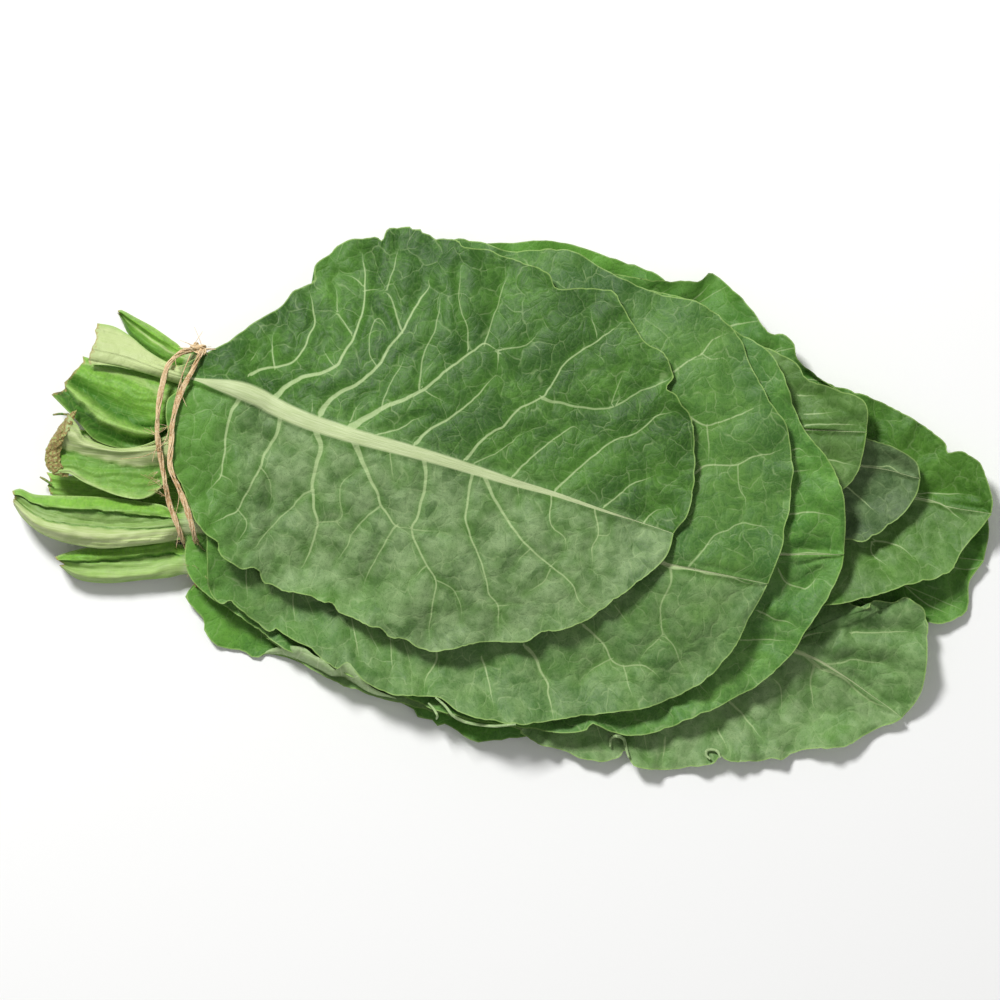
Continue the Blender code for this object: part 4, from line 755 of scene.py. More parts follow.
# Pushes the margins out and in by their scallops, except near the petiole and the tip
def scallopMargins(lines, turn):
    along = lines["along"]
    grown = smoothStep(along, 0.03, 0.1) * (1 - smoothStep(along, 0.93, 0.99))
    for n, side in enumerate(("left", "right")):
        out = lines[side] - lines["mid"]
        out /= np.maximum(np.linalg.norm(out, axis=1), 0.01)[:, None]
        walked = lengthsAlong(lines[side])
        push = sum(depth * scallops(walked, length, turn + n) for length, depth in blade["teeth"])
        lines[side] = lines[side] + (push * grown)[:, None] * out


# Cells of the fine net of veins: distance from each place to the nearest edge, in cells
def netDistance(places):
    mesh = bpy.data.meshes.new("netProbe")
    mesh.vertices.add(len(places))
    mesh.vertices.foreach_set("co", np.column_stack([places, np.zeros(len(places))]).ravel())
    probe = bpy.data.objects.new("netProbe", mesh)
    bpy.context.scene.collection.objects.link(probe)
    tree = bpy.data.node_groups.new("netProbe", "GeometryNodeTree")
    tree.interface.new_socket("Geometry", in_out="INPUT", socket_type="NodeSocketGeometry")
    tree.interface.new_socket("Geometry", in_out="OUTPUT", socket_type="NodeSocketGeometry")
    begin, end = tree.nodes.new("NodeGroupInput"), tree.nodes.new("NodeGroupOutput")
    position = tree.nodes.new("GeometryNodeInputPosition")
    cells = tree.nodes.new("ShaderNodeTexVoronoi")
    cells.voronoi_dimensions, cells.feature = "2D", "DISTANCE_TO_EDGE"
    cells.inputs["Scale"].default_value = 1 / blade["cell"]
    store = tree.nodes.new("GeometryNodeStoreNamedAttribute")
    store.inputs["Name"].default_value = "net"
    tree.links.new(begin.outputs[0], store.inputs["Geometry"])
    tree.links.new(position.outputs[0], cells.inputs["Vector"])
    tree.links.new(cells.outputs["Distance"], store.inputs["Value"])
    tree.links.new(store.outputs["Geometry"], end.inputs[0])
    modifier = probe.modifiers.new("net", "NODES")
    modifier.node_group = tree
    graph = bpy.context.evaluated_depsgraph_get()
    read = np.empty(len(places), np.float32)
    probe.evaluated_get(graph).data.attributes["net"].data.foreach_get("value", read)
    bpy.data.objects.remove(probe)
    bpy.data.meshes.remove(mesh)
    bpy.data.node_groups.remove(tree)
    return read.astype(float)


# Slow waves without a visible period: the odd factors keep them from repeating
def drift(plan, length, turn):
    x, y = (2 * math.pi * plan[..., k] / length + turn for k in (0, 1))
    return (np.sin(x + 1.3 * np.sin(0.7 * y + turn)) + np.sin(1.17 * y - 0.6 * x + 1.1 * np.sin(0.53 * x))
            + 0.6 * np.sin(1.9 * x + 1.3 * y + 2 * turn)) / 2.6


def wave(walked, length, turn):
    s = 2 * math.pi * walked / length
    return 0.6 * np.sin(s + turn + 0.9 * np.sin(0.37 * s + turn)) + 0.4 * np.sin(1.63 * s + 2.1 * turn)


# Height map of the leaves laid so far, by which each fine leaf is kept clear of those under it
pileCell = 1.5
pileLow, pileHigh = (-95.0, -165.0), (385.0, 125.0)
pile = np.zeros([int((high - low) / pileCell) + 1 for low, high in zip(pileLow, pileHigh)])


def pileCells(plan):
    return tuple(np.rint((plan[..., k] - pileLow[k]) / pileCell).astype(int) for k in (0, 1))


# Each cell takes the highest or the mean value of those round it
def spread(field, reach, chosen):
    for axis in (0, 1):
        sides = [(reach, reach) if k == axis else (0, 0) for k in (0, 1)]
        padded = np.pad(field, sides, "edge")
        views = [np.take(padded, range(k, k + field.shape[axis]), axis) for k in range(2 * reach + 1)]
        field = chosen(views, axis=0)
    return field


# From the plan to the frame. The pile is pressed together a little above pressedFrom
pressedFrom, pressedTo = 30.0, 0.72


def settled(points):
    pressed = points - (*bunchCentre, 0.0)
    pressed[:, 2] -= (1 - pressedTo) * np.maximum(pressed[:, 2] - pressedFrom, 0)
    return pressed * millimetre


# How far each point of a leaf has to rise to clear the pile, evened out round it
def liftClear(plan, bottom):
    under = spread(pile, 1, np.max)[pileCells(plan)]
    short = np.maximum(under + blade["tuck"] - bottom, 0)
    return spread(spread(short, 2, np.max), 2, np.mean)


# The top of a leaf becomes part of the pile, also halfway between its rows and columns
def addToPile(plan, top):
    for shift in (0, 1):
        middlePlan = (plan[shift:, :] + plan[:len(plan) - shift, :]) / 2
        middleTop = (top[shift:, :] + top[:len(top) - shift, :]) / 2
        np.maximum.at(pile, pileCells(middlePlan), middleTop)
        sidePlan = (middlePlan[:, 1:] + middlePlan[:, :-1]) / 2
        sideTop = (middleTop[:, 1:] + middleTop[:, :-1]) / 2
        np.maximum.at(pile, pileCells(sidePlan), sideTop)


# Rows and columns of the fine leaf: its lines, and at each point the distance from the midrib, the
# share of the half-width and the plan, with the torn cut end
def fineGrid(name, shape, coarse, number, turn):
    rowSize, columnSize = fineness[name]
    stemRows = int(coarse["stemLength"] / blade["stemSpacing"])
    bladeRows = int(coarse["bladeLength"] / rowSize)
    even = np.arange(bladeRows + 1) / bladeRows
    crowded = 0.5 * (1 - np.cos(math.pi * even))
    mix = blade["rowCrowding"]
    bladeShares = blade["fineEnd"] * ((1 - mix) * even + mix * crowded)
    fineShape = {**shape, **{side: fineOutline(name, shape, side) for side in ("mid", "left", "right")}}
    lines = leafLines(fineShape, np.arange(stemRows) / stemRows, bladeShares)
    scallopMargins(lines, turn)
    widest = max(np.linalg.norm(lines[side] - lines["mid"], axis=1).max() for side in ("left", "right"))
    sideColumns = int((widest - shape["stem"][0]) / columnSize)
    k = np.concatenate([np.arange(1, blade["ribColumns"]) / blade["ribColumns"],
                        np.linspace(1, solid["sideColumns"], sideColumns)])
    off, share, plan = acrossLeaf(lines, k)
    if name in stemEnds:
        rows = blade["tornRows"]
        inwards = lines["mid"][3] - lines["mid"][0]
        inwards = inwards / np.linalg.norm(inwards)
        torn = np.interp(share[:rows], *np.transpose(stemEnds[name]))
        torn = torn + 0.12 * np.sin(17 * share[:rows] + number)
        plan[:rows] += ((1 - np.arange(rows) / rows)[:, None] * torn)[..., None] * inwards
    return lines, off, share, plan


# The solid's sheet at the rows and columns of the fine leaf
def fineSheet(sheet, coarse, lines, off):
    columns = np.arange(1, solid["sideColumns"] + 1)
    places = np.concatenate([-columnPlaces(lines, "left", columns[::-1])[0], np.zeros((len(off), 1)),
                             columnPlaces(lines, "right", columns)[0]], axis=1)
    walked = np.broadcast_to(coarse["walked"], (sheet.shape[1], len(coarse["walked"])))
    wanted = np.minimum(lines["walked"], coarse["walked"][-1])
    wanted = np.broadcast_to(wanted, (sheet.shape[1], len(off)))
    rows = curveThrough(walked, sheet.T, wanted).T
    return curveThrough(places, rows, np.clip(off, places[:, :1], places[:, -1:]))


# Height, paleness and brightness of the petiole's skin at each point; the brightness also paints the light
# and shade of its folds
def stemSkin(name, share, walked, plan, turn):
    slant, slantFrom = stemSlants.get(name, (0, 0))
    place = share + 0.05 * np.sin(0.11 * walked + turn)[:, None] + 0.04 * drift(plan, 9, turn)
    place = place - slant * (walked - slantFrom)[:, None] * (1 - share**2)
    table = np.transpose(stemSkins.get(name, stemSkins["others"]))
    return [np.interp(place, *table[[0, k]]) for k in (1, 2, 3)]


ribNeck = (0.0, 0.14)  # shares of the top leaf's midrib along which it comes out from under its blade


# Distance from the midrib in half-widths of it, as it shows: slimmer towards the tip
def ribSeen(name, off, lines, along):
    ratio = off / np.maximum(lines["rib"], solid["ribLeast"])[:, None]
    if name == "leaf_1":
        out = smoothStep(along, *ribNeck)
        ratio = (ratio - 0.3 * (1 - out)) / (0.06 + 0.94 * out)
    return ratio * (1 + 0.5 * smoothStep(along, 0.6, 0.9) + 2.5 * smoothStep(along, 0.88, 0.99))


# The fine leaf: plan and height of both faces, and what its finish needs to know at each point
def layLeaf(name, number):
    shape = leafShapes[name]
    turn = 1.7 * number
    coarse, sheet = solidSheet(name, shape)
    lines, off, share, plan = fineGrid(name, shape, coarse, number, turn)
    base = fineSheet(sheet, coarse, lines, off) + solid["thick"]
    along = np.broadcast_to(lines["along"][:, None], off.shape)

    points = plan.reshape(-1, 2)
    veins = leafVeins(name, coarse, number)
    main, fine = (nearestLine(points, veins[key], blade["reach"]) for key in ("main", "fine"))
    rim = nearestLine(points, [(1, 1, lines["left"]), (1, 1, lines["right"])], 2 * blade["reach"], 1)
    warp = sum(size * np.column_stack([drift(points, length, turn + n) for length, n in waves])
               for size, waves in blade["warps"])
    place = points + warp + blade["apart"] * number

    def onGrid(field):
        return field.reshape(off.shape)

    # Blade: blisters and puckers between the veins, grooves over them, and a waved margin
    bladeOnly = smoothStep(along, 0.01, 0.1)
    besideRib = np.abs(off) - lines["rib"][:, None] * 0.8
    veinAway = np.minimum.reduce([onGrid(main["away"]), onGrid(fine["away"]) + 0.6, np.maximum(besideRib, 0)])
    rimAway = onGrid(rim["away"])
    blister = blade["blister"] * (1 - np.exp(-(veinAway / blade["blisterWidth"]) ** 2))
    pucker = blade["pucker"] * smoothStep(onGrid(netDistance(place)), 0.0, 0.38)
    groove = 0
    for near in (main, fine):
        width = onGrid(near["width"])
        groove = groove + np.exp(-(onGrid(near["away"]) / (width + 0.5)) ** 2) * np.clip(width, 0, 1)
    swell = blade["swell"] * drift(plan, blade["swellLength"], turn)
    strength = reliefs.get(name, 1.0)
    rimShare = np.clip(1 - rimAway / blade["rimBand"], 0, 1) ** 1.5
    ruffle = sum(height * wave(onGrid(rim["walked"]), length, turn + np.sign(off))
                 for length, height in blade["rimWaves"]) * (1 - 0.9 * smoothStep(along, 0.86, 0.97))
    leftLift, rightLift = rimLifts[name]
    onRight = smoothStep(off, -7, 7)
    ruffle = (ruffle * strength + leftLift + (rightLift - leftLift) * onRight) * rimShare
    onBlade = (0.4 + 0.6 * smoothStep(rimAway, 0, 5)) * smoothStep(besideRib, 0, 3) * strength
    relief = (blister + pucker) * onBlade - 0.8 * blade["blister"] * onBlade
    relief = (relief + swell + ruffle - blade["groove"] * groove * onBlade) * bladeOnly

    # Petiole and midrib
    stemShare = 1 - smoothStep(along, -0.14, -0.02)
    skin = stemSkin(name, share, lines["walked"], plan, turn)
    ribPlace, ribHeight = stemRibs.get(name, (0, 1.0))
    half = np.linalg.norm(lines["right" if ribPlace > 0 else "left"] - lines["mid"], axis=1)[:, None]
    ribOff = off - ribPlace * half * stemShare
    upper = ribDepth(shape, lines, ribOff, 0.6) * ribRise(lines) * (1 + (ribHeight - 1) * stemShare)
    upper = upper * (1 - 0.7 * smoothStep(along, 0.45, 0.8))
    lower = ribDepth(shape, lines, ribOff, 0.8)
    creases = 0.25 * np.sin(1.7 * off + 2 * drift(plan, 22, turn)) * smoothStep(0.6 - skin[1], 0, 0.4)
    relief = relief + (skin[0] + creases + 0.35 * drift(plan, 7, turn)) * stemShare

    thin = blade["thick"] * (0.25 + 0.75 * smoothStep(rimAway, 0, blade["rimWidth"]))
    keels = blade["keel"] * groove * onBlade * bladeOnly
    top = base + relief + upper
    bottom = base + relief - thin - lower - keels
    bottom = np.where(rimAway < 0.05, top, bottom)
    lift = liftClear(plan, bottom)
    bottom = np.maximum(bottom + lift, 0.02)
    top = np.maximum(top + lift, bottom + 0.1 * (rimAway > 0.05))
    addToPile(plan, top)
    return {
        "plan": plan, "top": top, "bottom": bottom, "main": main, "fine": fine, "along": along,
        "places": {"place": place, "spot": points + blade["apart"] * number}, "number": number,
        "ribRatio": ribSeen(name, off, lines, along), "rimAway": rimAway, "share": share, "skin": skin,
        "cutAway": (lines["walked"] + coarse["stemLength"])[:, None] + np.zeros_like(off),
    }


# Faces over a grid of point numbers
def quads(index):
    return np.stack([index[:-1, :-1], index[:-1, 1:], index[1:, 1:], index[1:, :-1]], -1).reshape(-1, 4)


# Closed mesh of the leaf: the two faces meet at the margin, and a cap closes the cut end. The rolled
# margins, rims and crust that the leaf carries are added to it
def leafMesh(name, leaf, bloomAndSheen, carried):
    rows, columns = leaf["top"].shape
    count = rows * columns
    grid = np.arange(count).reshape(rows, columns)
    under = np.full((rows, columns), -1)
    inside = np.ones((rows, columns), bool)
    inside[:, 0] = inside[:, -1] = inside[-1, :] = False
    under[~inside] = grid[~inside]
    under[inside] = count + np.arange(inside.sum())
    above = np.column_stack([leaf["plan"].reshape(-1, 2), leaf["top"].ravel()])
    below = np.column_stack([leaf["plan"][inside], leaf["bottom"][inside]])
    capTop, capBottom = above[grid[0]], np.column_stack([leaf["plan"][0], leaf["bottom"][0]])
    capRows = 4
    inward = leaf["plan"][1, columns // 2] - leaf["plan"][0, columns // 2]
    inward = np.append(inward / np.linalg.norm(inward), 0)
    caps = []
    for n in range(capRows + 1):
        v = n / capRows
        hollow = 0.8 * math.sin(math.pi * v)
        caps.append(capTop * (1 - v) + capBottom * v + hollow * inward)
    capStart = count + inside.sum()
    capGrid = capStart + np.arange((capRows + 1) * columns).reshape(capRows + 1, columns)
    points = np.vstack([above, below] + caps)

    faces = np.vstack([quads(grid), quads(under)[:, ::-1], quads(capGrid)[:, ::-1]])
    corners, sizes = [faces.ravel()], [np.full(len(faces), 4)]
    added = np.vstack([form["points"] for form in carried]) if carried else np.zeros((0, 3))
    start = len(points)
    for form in carried:
        corners.extend(start + np.array(face) for face in form["faces"])
        sizes.append(np.array([len(face) for face in form["faces"]]))
        start += len(form["points"])
    corners, sizes = np.concatenate(corners), np.concatenate(sizes)
    points = settled(np.vstack([points, added]))
    mesh = bpy.data.meshes.new(name)
    mesh.vertices.add(len(points))
    mesh.vertices.foreach_set("co", points.ravel())
    mesh.loops.add(len(corners))
    mesh.loops.foreach_set("vertex_index", corners)
    mesh.polygons.add(len(sizes))
    mesh.polygons.foreach_set("loop_start", np.cumsum(sizes) - sizes)
    mesh.update(calc_edges=True)
    mesh.validate()

    # One value for each point: of both faces, of the cap, and of what is carried
    def everywhere(field, cap=None, key=None, other=0.0):
        field = np.asarray(field, float).reshape(rows, columns)
        capValues = np.tile(field[0], capRows + 1) if cap is None else np.full(capGrid.size, cap)
        more = [np.broadcast_to(form.get(key, other), len(form["points"])) for form in carried]
        return np.concatenate([field.ravel(), field[inside], capValues] + more)

    isUnder = np.concatenate([np.zeros(count), np.ones(inside.sum()), np.zeros(capGrid.size)]
                             + [np.broadcast_to(form["isUnder"], len(form["points"])) for form in carried])
    own = len(points) - len(added)
    for key, field in leaf["places"].items():
        across = np.vstack([np.column_stack([everywhere(field[:, k])[:own] for k in (0, 1)]),
                            added[:, :2] + blade["apart"] * leaf["number"]])
        store(mesh, key, across[:, 0], across[:, 1], isUnder * 0)
    for key in ("main", "fine"):
        parts = (("signed", 9.0), ("away", 9.0), ("width", sideVein["plain"]))
        store(mesh, key + "Veins", *(everywhere(leaf[key][part], other=far) for part, far in parts))
    store(mesh, "parts", everywhere(leaf["ribRatio"], other=9.0), everywhere(leaf["rimAway"], other=9.0),
          everywhere(leaf["cutAway"], cap=-1.0, key="cutAway", other=50.0))
    # Bloom on each side of the midrib: partly waxy bloom, partly painted sheen on the half that faces the
    # light
    onRight = smoothStep(leaf["share"], -0.15, 0.15)
    waxAndSheen = bloomAndSheen[0] * (1 - onRight) + bloomAndSheen[1] * onRight
    waxAndSheen = waxAndSheen * (0.2 + 0.8 * smoothStep(leaf["plan"][..., 0], *nearTie["bare"]))
    tint = nearTie["tint"] * (1 - smoothStep(leaf["plan"][..., 0], *nearTie["fresh"])) * onRight
    # Listed areas: fresher green, or painted shade where the share is negative
    for centre, radii, share in tints.get(name, []):
        tint = tint + share * np.exp(-(((leaf["plan"] - centre) / radii) ** 2).sum(axis=-1))
    store(mesh, "kinds", isUnder, everywhere(tint), everywhere(waxAndSheen))
    stemShare = 1 - smoothStep(leaf["along"], -0.05, 0.03)
    store(mesh, "stems", everywhere(leaf["skin"][1], key="pale"), everywhere(leaf["skin"][2], key="greenLitShaded"),
          everywhere(stemShare, key="stem"))
    mesh.shade_smooth()
    mesh.set_sharp_from_angle(angle=math.radians(60))
    return mesh


# Rolled margins of the leaves, in the plan. They show the leaf's pale underside: the outer line lies
# low, and the inner one over the leaves above
rolledMargins = {
    "leaf_10": [{
        "outer": [(38, -90.6), (40.5, -89.2), (48.8, -90.4), (56.3, -93.4), (61.4, -96.3), (70.7, -100.1),
                  (78.2, -103.1), (87.5, -107.3), (95.9, -109.3), (103, -112)],
        "inner": [(40, -88), (43.5, -86.4), (49.6, -85.2), (57.2, -85.6), (62.3, -89), (66.4, -91.1),
                  (71.5, -95.3), (73.2, -94.8), (77.4, -92.4), (82.5, -97.8), (88.4, -103.7),
                  (99.3, -108.8), (103, -111.2)],
        "low": 1.2, "rise": 0.5, "stations": 90, "turns": 9, "finish": {"isUnder": 1.0},
    }],
}
# Thin rolled rims: radius, points, and height over what is under them
rims = {
    "leaf_3": [(0.75, [(116, -107.6), (120.3, -111.4), (123.6, -115.5), (128.6, -118.4), (135.5, -119.8),
                       (142.9, -120.2), (151.5, -119.4)], 0.3)],
    "leaf_8": [(0.8, [(193.6, -130.2), (194, -126.3), (196.5, -125), (199.6, -126.9), (200.6, -131),
                      (201.8, -134.8)], 0.9),
               (0.75, [(242.4, -134.9), (241.2, -132.2), (238.6, -131.4), (236.5, -132), (236.3, -134),
                       (238, -135.6)], 0.9)],
    "leaf_10": [(0.6, [(112.8, -110.3), (115, -112.6), (116.8, -115.7), (116.3, -117.7)], 0.6)],
}
# Torn scraps at the cut ends: radius, points and height
scraps = {
    "leaf_4": [(0.55, [(-54.2, 17.4), (-50.5, 17.8), (-46, 17.2)], 9.0)],
    "leaf_10": [(0.6, [(-60, -10.2), (-57.2, -11.8), (-54.5, -13.8)], 8.0)],
}
# Rough brown callus on the cut end of a petiole: its outer and inner lines, and how far it hangs down
callus = {
    "leaf_2": {
        "outer": [(-42.6, 19.6), (-46, 17.4), (-49.5, 13.6), (-52.6, 9), (-55.4, 4), (-56.8, -1), (-56, -6),
                  (-52.5, -9.4), (-47, -10.4)],
        "inner": [(-43.2, 17), (-45, 12), (-47.4, 7.6), (-49.2, 3), (-50, -1), (-49.4, -4.4), (-47.6, -6.6),
                  (-46.4, -7.6), (-45, -8.4)],
        "hangs": 6.0, "rough": 0.7, "rise": 0.4, "stations": 84, "turns": 18,
        "finish": {"isUnder": 0.0, "cutAway": -0.45, "stem": 1.0, "pale": 0.8, "greenLitShaded": 0.9},
    },
}


# Height at some places of the plan, by so much over what lies there
def overPile(plan, clear, reach=1):
    return spread(pile, reach, np.max)[pileCells(plan)] + clear


# Thin closed sheet over a grid of points, with what its finish needs
def sheetForm(top, thick, **finish):
    rows, columns = top.shape[:2]
    grid = np.arange(rows * columns).reshape(rows, columns)
    inside = np.zeros((rows, columns), bool)
    inside[1:-1, 1:-1] = True
    below = grid.copy()
    below[inside] = rows * columns + np.arange(inside.sum())
    across = np.cross(np.gradient(top, axis=0), np.gradient(top, axis=1))
    across /= np.maximum(np.linalg.norm(across, axis=2), 1e-6)[..., None]
    across *= np.sign(across[..., 2:].mean())
    points = np.vstack([top.reshape(-1, 3), (top - thick * across)[inside]])
    faces = np.vstack([quads(grid)[:, (0, 3, 2, 1)], quads(below)[:, (1, 2, 3, 0)]])
    return {"points": points, "faces": faces.tolist(), **finish}


# Sheet that rolls from its low outer line up and over to its inner one
def rolledMargin(style):
    outer, inner = (atLengths(line, np.linspace(0, lengthsAlong(line)[-1], style["stations"]))
                    for line in (smoothLine(style["outer"]), smoothLine(style["inner"])))
    ends = np.sin(math.pi * np.linspace(0, 1, style["stations"])) ** 0.5
    low = np.full(style["stations"], style["low"])
    high = overPile(inner, style["rise"]) * ends + low * (1 - ends)
    low, high = (np.convolve(np.pad(line, 3, "edge"), np.ones(7) / 7, "valid") for line in (low, high))
    turn = np.linspace(0, math.pi / 2, style["turns"])
    reach, climb = 0.35 * (1 - np.cos(turn)) + 0.65 * turn / turn[-1], np.sin(turn)
    plan = outer[:, None] + (inner - outer)[:, None] * reach[None, :, None]
    height = low[:, None] + (high - low)[:, None] * climb[None]
    height += 0.5 * ends[:, None] * climb * wave(lengthsAlong(outer), 11, 0.4)[:, None]
    rough = style.get("rough", 0)
    height += rough * (drift(plan, 3.1, 1) + 0.7 * drift(plan, 1.7, 2)) * (0.3 + 0.7 * climb)
    plan = plan + 0.5 * rough * np.dstack([drift(plan, 2.7, 3), drift(plan, 2.9, 5)])
    return sheetForm(np.dstack([plan, height]), blade["rolled"], **style["finish"])


# Tube that thins out at both ends
def tubeForm(radius, spots, heights, **finish):
    points, faces = [], []
    path = smoothLine(np.column_stack([spots, heights]), 5)
    radii = radius * (0.35 + 0.65 * np.sin(math.pi * np.linspace(0.08, 0.92, len(path))) ** 0.6)
    addTube(points, faces, path, radii)
    return {"points": np.vstack(points), "faces": faces, **finish}


def carriedForms(name, leaf):
    forms = [rolledMargin(style) for style in rolledMargins.get(name, [])]
    for radius, spots, clear in rims.get(name, []):
        forms.append(tubeForm(radius, spots, overPile(np.array(spots), clear), isUnder=1.0))
    for radius, spots, height in scraps.get(name, []):
        forms.append(tubeForm(radius, spots, [height] * len(spots), isUnder=0.0, cutAway=0.8))
    if name in callus:
        style = callus[name]
        forms.append(rolledMargin({**style, "low": leaf["top"][0].max() - style["hangs"]}))
    return forms


# Three values for each point, which the materials read by this name
def store(mesh, name, *fields):
    attribute = mesh.attributes.new(name, "FLOAT_VECTOR", "POINT")
    attribute.data.foreach_set("vector", np.column_stack(fields).astype(np.float32).ravel())


def addPiece(name, mesh, node, slotName, material):
    piece = bpy.data.objects.new(name, mesh)
    bpy.context.scene.collection.objects.link(piece)
    mesh.materials.append(material)
    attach(piece, "root")
    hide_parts(node)
    return piece


# Small helpers for the node materials
def put(tree, kind, sockets=None, **settings):
    node = tree.nodes.new(kind)
    for key, value in settings.items():
        setattr(node, key, value)
    for key, value in (sockets or {}).items():
        if isinstance(value, bpy.types.NodeSocket):
            tree.links.new(value, node.inputs[key])
        else:
            node.inputs[key].default_value = value
    return node


def calc(tree, operation, *values, clamp=False):
    node = put(tree, "ShaderNodeMath", dict(enumerate(values)), operation=operation, use_clamp=clamp)
    return node.outputs[0]


def blend(tree, share, under, over):
    return put(tree, "ShaderNodeMix", {0: share, 6: under, 7: over}, data_type="RGBA").outputs[2]


# 1 where the value is full, falling smoothly to 0 where it is gone
def fade(tree, value, full, gone):
    low, high = sorted((full, gone))
    ends = (1.0, 0.0) if full < gone else (0.0, 1.0)
    node = put(tree, "ShaderNodeMapRange",
               {"Value": value, "From Min": low, "From Max": high, "To Min": ends[0], "To Max": ends[1]},
               interpolation_type="SMOOTHSTEP")
    return node.outputs[0]


def fromScreen(colour):
    parts = (c / 255 for c in colour)
    return tuple(c / 12.92 if c <= 0.04045 else ((c + 0.055) / 1.055) ** 2.4 for c in parts) + (1.0,)


def threeParts(tree, name):
    attribute = put(tree, "ShaderNodeAttribute", attribute_name=name)
    return put(tree, "ShaderNodeSeparateXYZ", {0: attribute.outputs["Vector"]}).outputs


def noise(tree, place, scale, detail=2.0, result="Fac"):
    return put(tree, "ShaderNodeTexNoise", {"Vector": place, "Scale": scale, "Detail": detail},
               noise_dimensions="2D").outputs[result]


def cellPattern(tree, place, scale, result="Distance", **settings):
    return put(tree, "ShaderNodeTexVoronoi", {"Vector": place, "Scale": scale},
               voronoi_dimensions="2D", **settings).outputs[result]


def newMaterial(name):
    material = bpy.data.materials.new(name)
    material.use_nodes = True
    return material, material.node_tree.nodes["Principled BSDF"]


def addRelief(tree, shader, height):
    bump = put(tree, "ShaderNodeBump", {"Height": height, "Distance": 1.0, "Strength": 1.0})
    tree.links.new(bump.outputs[0], shader.inputs["Normal"])


# What each leaf looks like: its dark and light green, how grey its bloom is on the left and on the
# right of the midrib (partly its waxy bloom, partly painted sheen and light on the half that faces the
# light), how plain its net of veins is, and the slot of the record
leafFinish = {
    "leaf_1": {"dark": (42, 80, 24), "light": (82, 130, 44), "bloomAndSheen": (0.06, 0.85), "net": 0.36,
               "slot": "leaf_top"},
    "leaf_2": {"dark": (60, 102, 42), "light": (98, 142, 62), "bloomAndSheen": (0.05, 0.5), "net": 0.42,
               "slot": "leaf_top"},
    "leaf_3": {"dark": (66, 114, 44), "light": (106, 158, 66), "bloomAndSheen": (0.05, 0.2), "net": 0.4,
               "slot": "leaf_middle"},
    "leaf_4": {"dark": (66, 104, 38), "light": (92, 132, 56), "bloomAndSheen": (0.2, 0.3), "net": 0.22,
               "slot": "leaf_middle"},
    "leaf_5": {"dark": (54, 82, 42), "light": (82, 112, 64), "bloomAndSheen": (0.5, 0.3), "net": 0.28,
               "slot": "leaf_grey"},
    "leaf_6": {"dark": (58, 102, 28), "light": (88, 136, 46), "bloomAndSheen": (0.05, 0.4), "net": 0.3,
               "slot": "leaf_bright"},
    "leaf_7": {"dark": (60, 110, 34), "light": (92, 144, 52), "bloomAndSheen": (0.1, 0.15), "net": 0.3,
               "slot": "leaf_middle"},
    "leaf_8": {"dark": (62, 104, 40), "light": (108, 152, 76), "bloomAndSheen": (0.55, 0.85), "net": 0.36,
               "slot": "leaf_middle"},
    "leaf_9": {"dark": (56, 106, 32), "light": (90, 140, 52), "bloomAndSheen": (0.15, 0.2), "net": 0.2,
               "slot": "leaf_bright"},
    "leaf_10": {"dark": (68, 118, 42), "light": (104, 158, 58), "bloomAndSheen": (0.05, 0.05), "net": 0.24,
                "slot": "leaf_bright"},
}

# Tones of the leaves. The bloom's grey is partly painted sheen, the rim's pale green partly a painted
# highlight, and the shade green is painted shade
greens = {
    "vein": (170, 192, 136), "rib": (193, 206, 158), "ribEdge": (170, 188, 130), "rim": (158, 190, 108),
    "bloomAndSheen": (144, 169, 119), "under": (166, 190, 136), "underVein": (196, 212, 164),
    "petiole": (190, 202, 147), "petioleDeep": (160, 184, 106), "cut": (170, 150, 98),
    "cutDark": (112, 90, 50), "speck": (40, 58, 30), "wing": (132, 186, 66), "wingDark": (62, 112, 36),
    "fresh": (102, 156, 60), "shade": (30, 66, 24),
}

# Near the tie the blades are fresher and bare of bloom and its painted sheen: from where to where, and by how
# much
nearTie = {"bare": (10, 52), "fresh": (5, 42), "tint": 0.55}
# Fresher (+) areas of the blades, and painted shade (-) where a blade lies in shade: centre in the plan,
# radii and share
tints = {
    "leaf_1": [((142, 46), (34, 24), -0.4), ((112, 74), (16, 18), -0.3), ((30, 46), (15, 8), -0.4),
               ((72, 86), (13, 9), 0.35), ((66, -66), (34, 9), 0.4), ((182, -4), (26, 8), 0.2),
               ((150, 28), (16, 7), 0.25), ((196, 66), (14, 7), -0.25)],
    "leaf_2": [((196, 74), (26, 16), -0.5), ((236, 20), (14, 26), 0.15), ((60, -80), (30, 7), 0.25)],
    "leaf_3": [((262, 34), (12, 24), -0.3), ((20, -62), (16, 12), -0.3), ((286, -30), (9, 26), 0.15)],
    "leaf_8": [((306, -74), (22, 7), -0.25), ((290, -124), (24, 6), 0.3)],
    "leaf_9": [((236, 70), (24, 14), 0.4)],
    "leaf_10": [((180, 90), (42, 9), 0.9), ((14, -72), (10, 8), 0.3)],
}


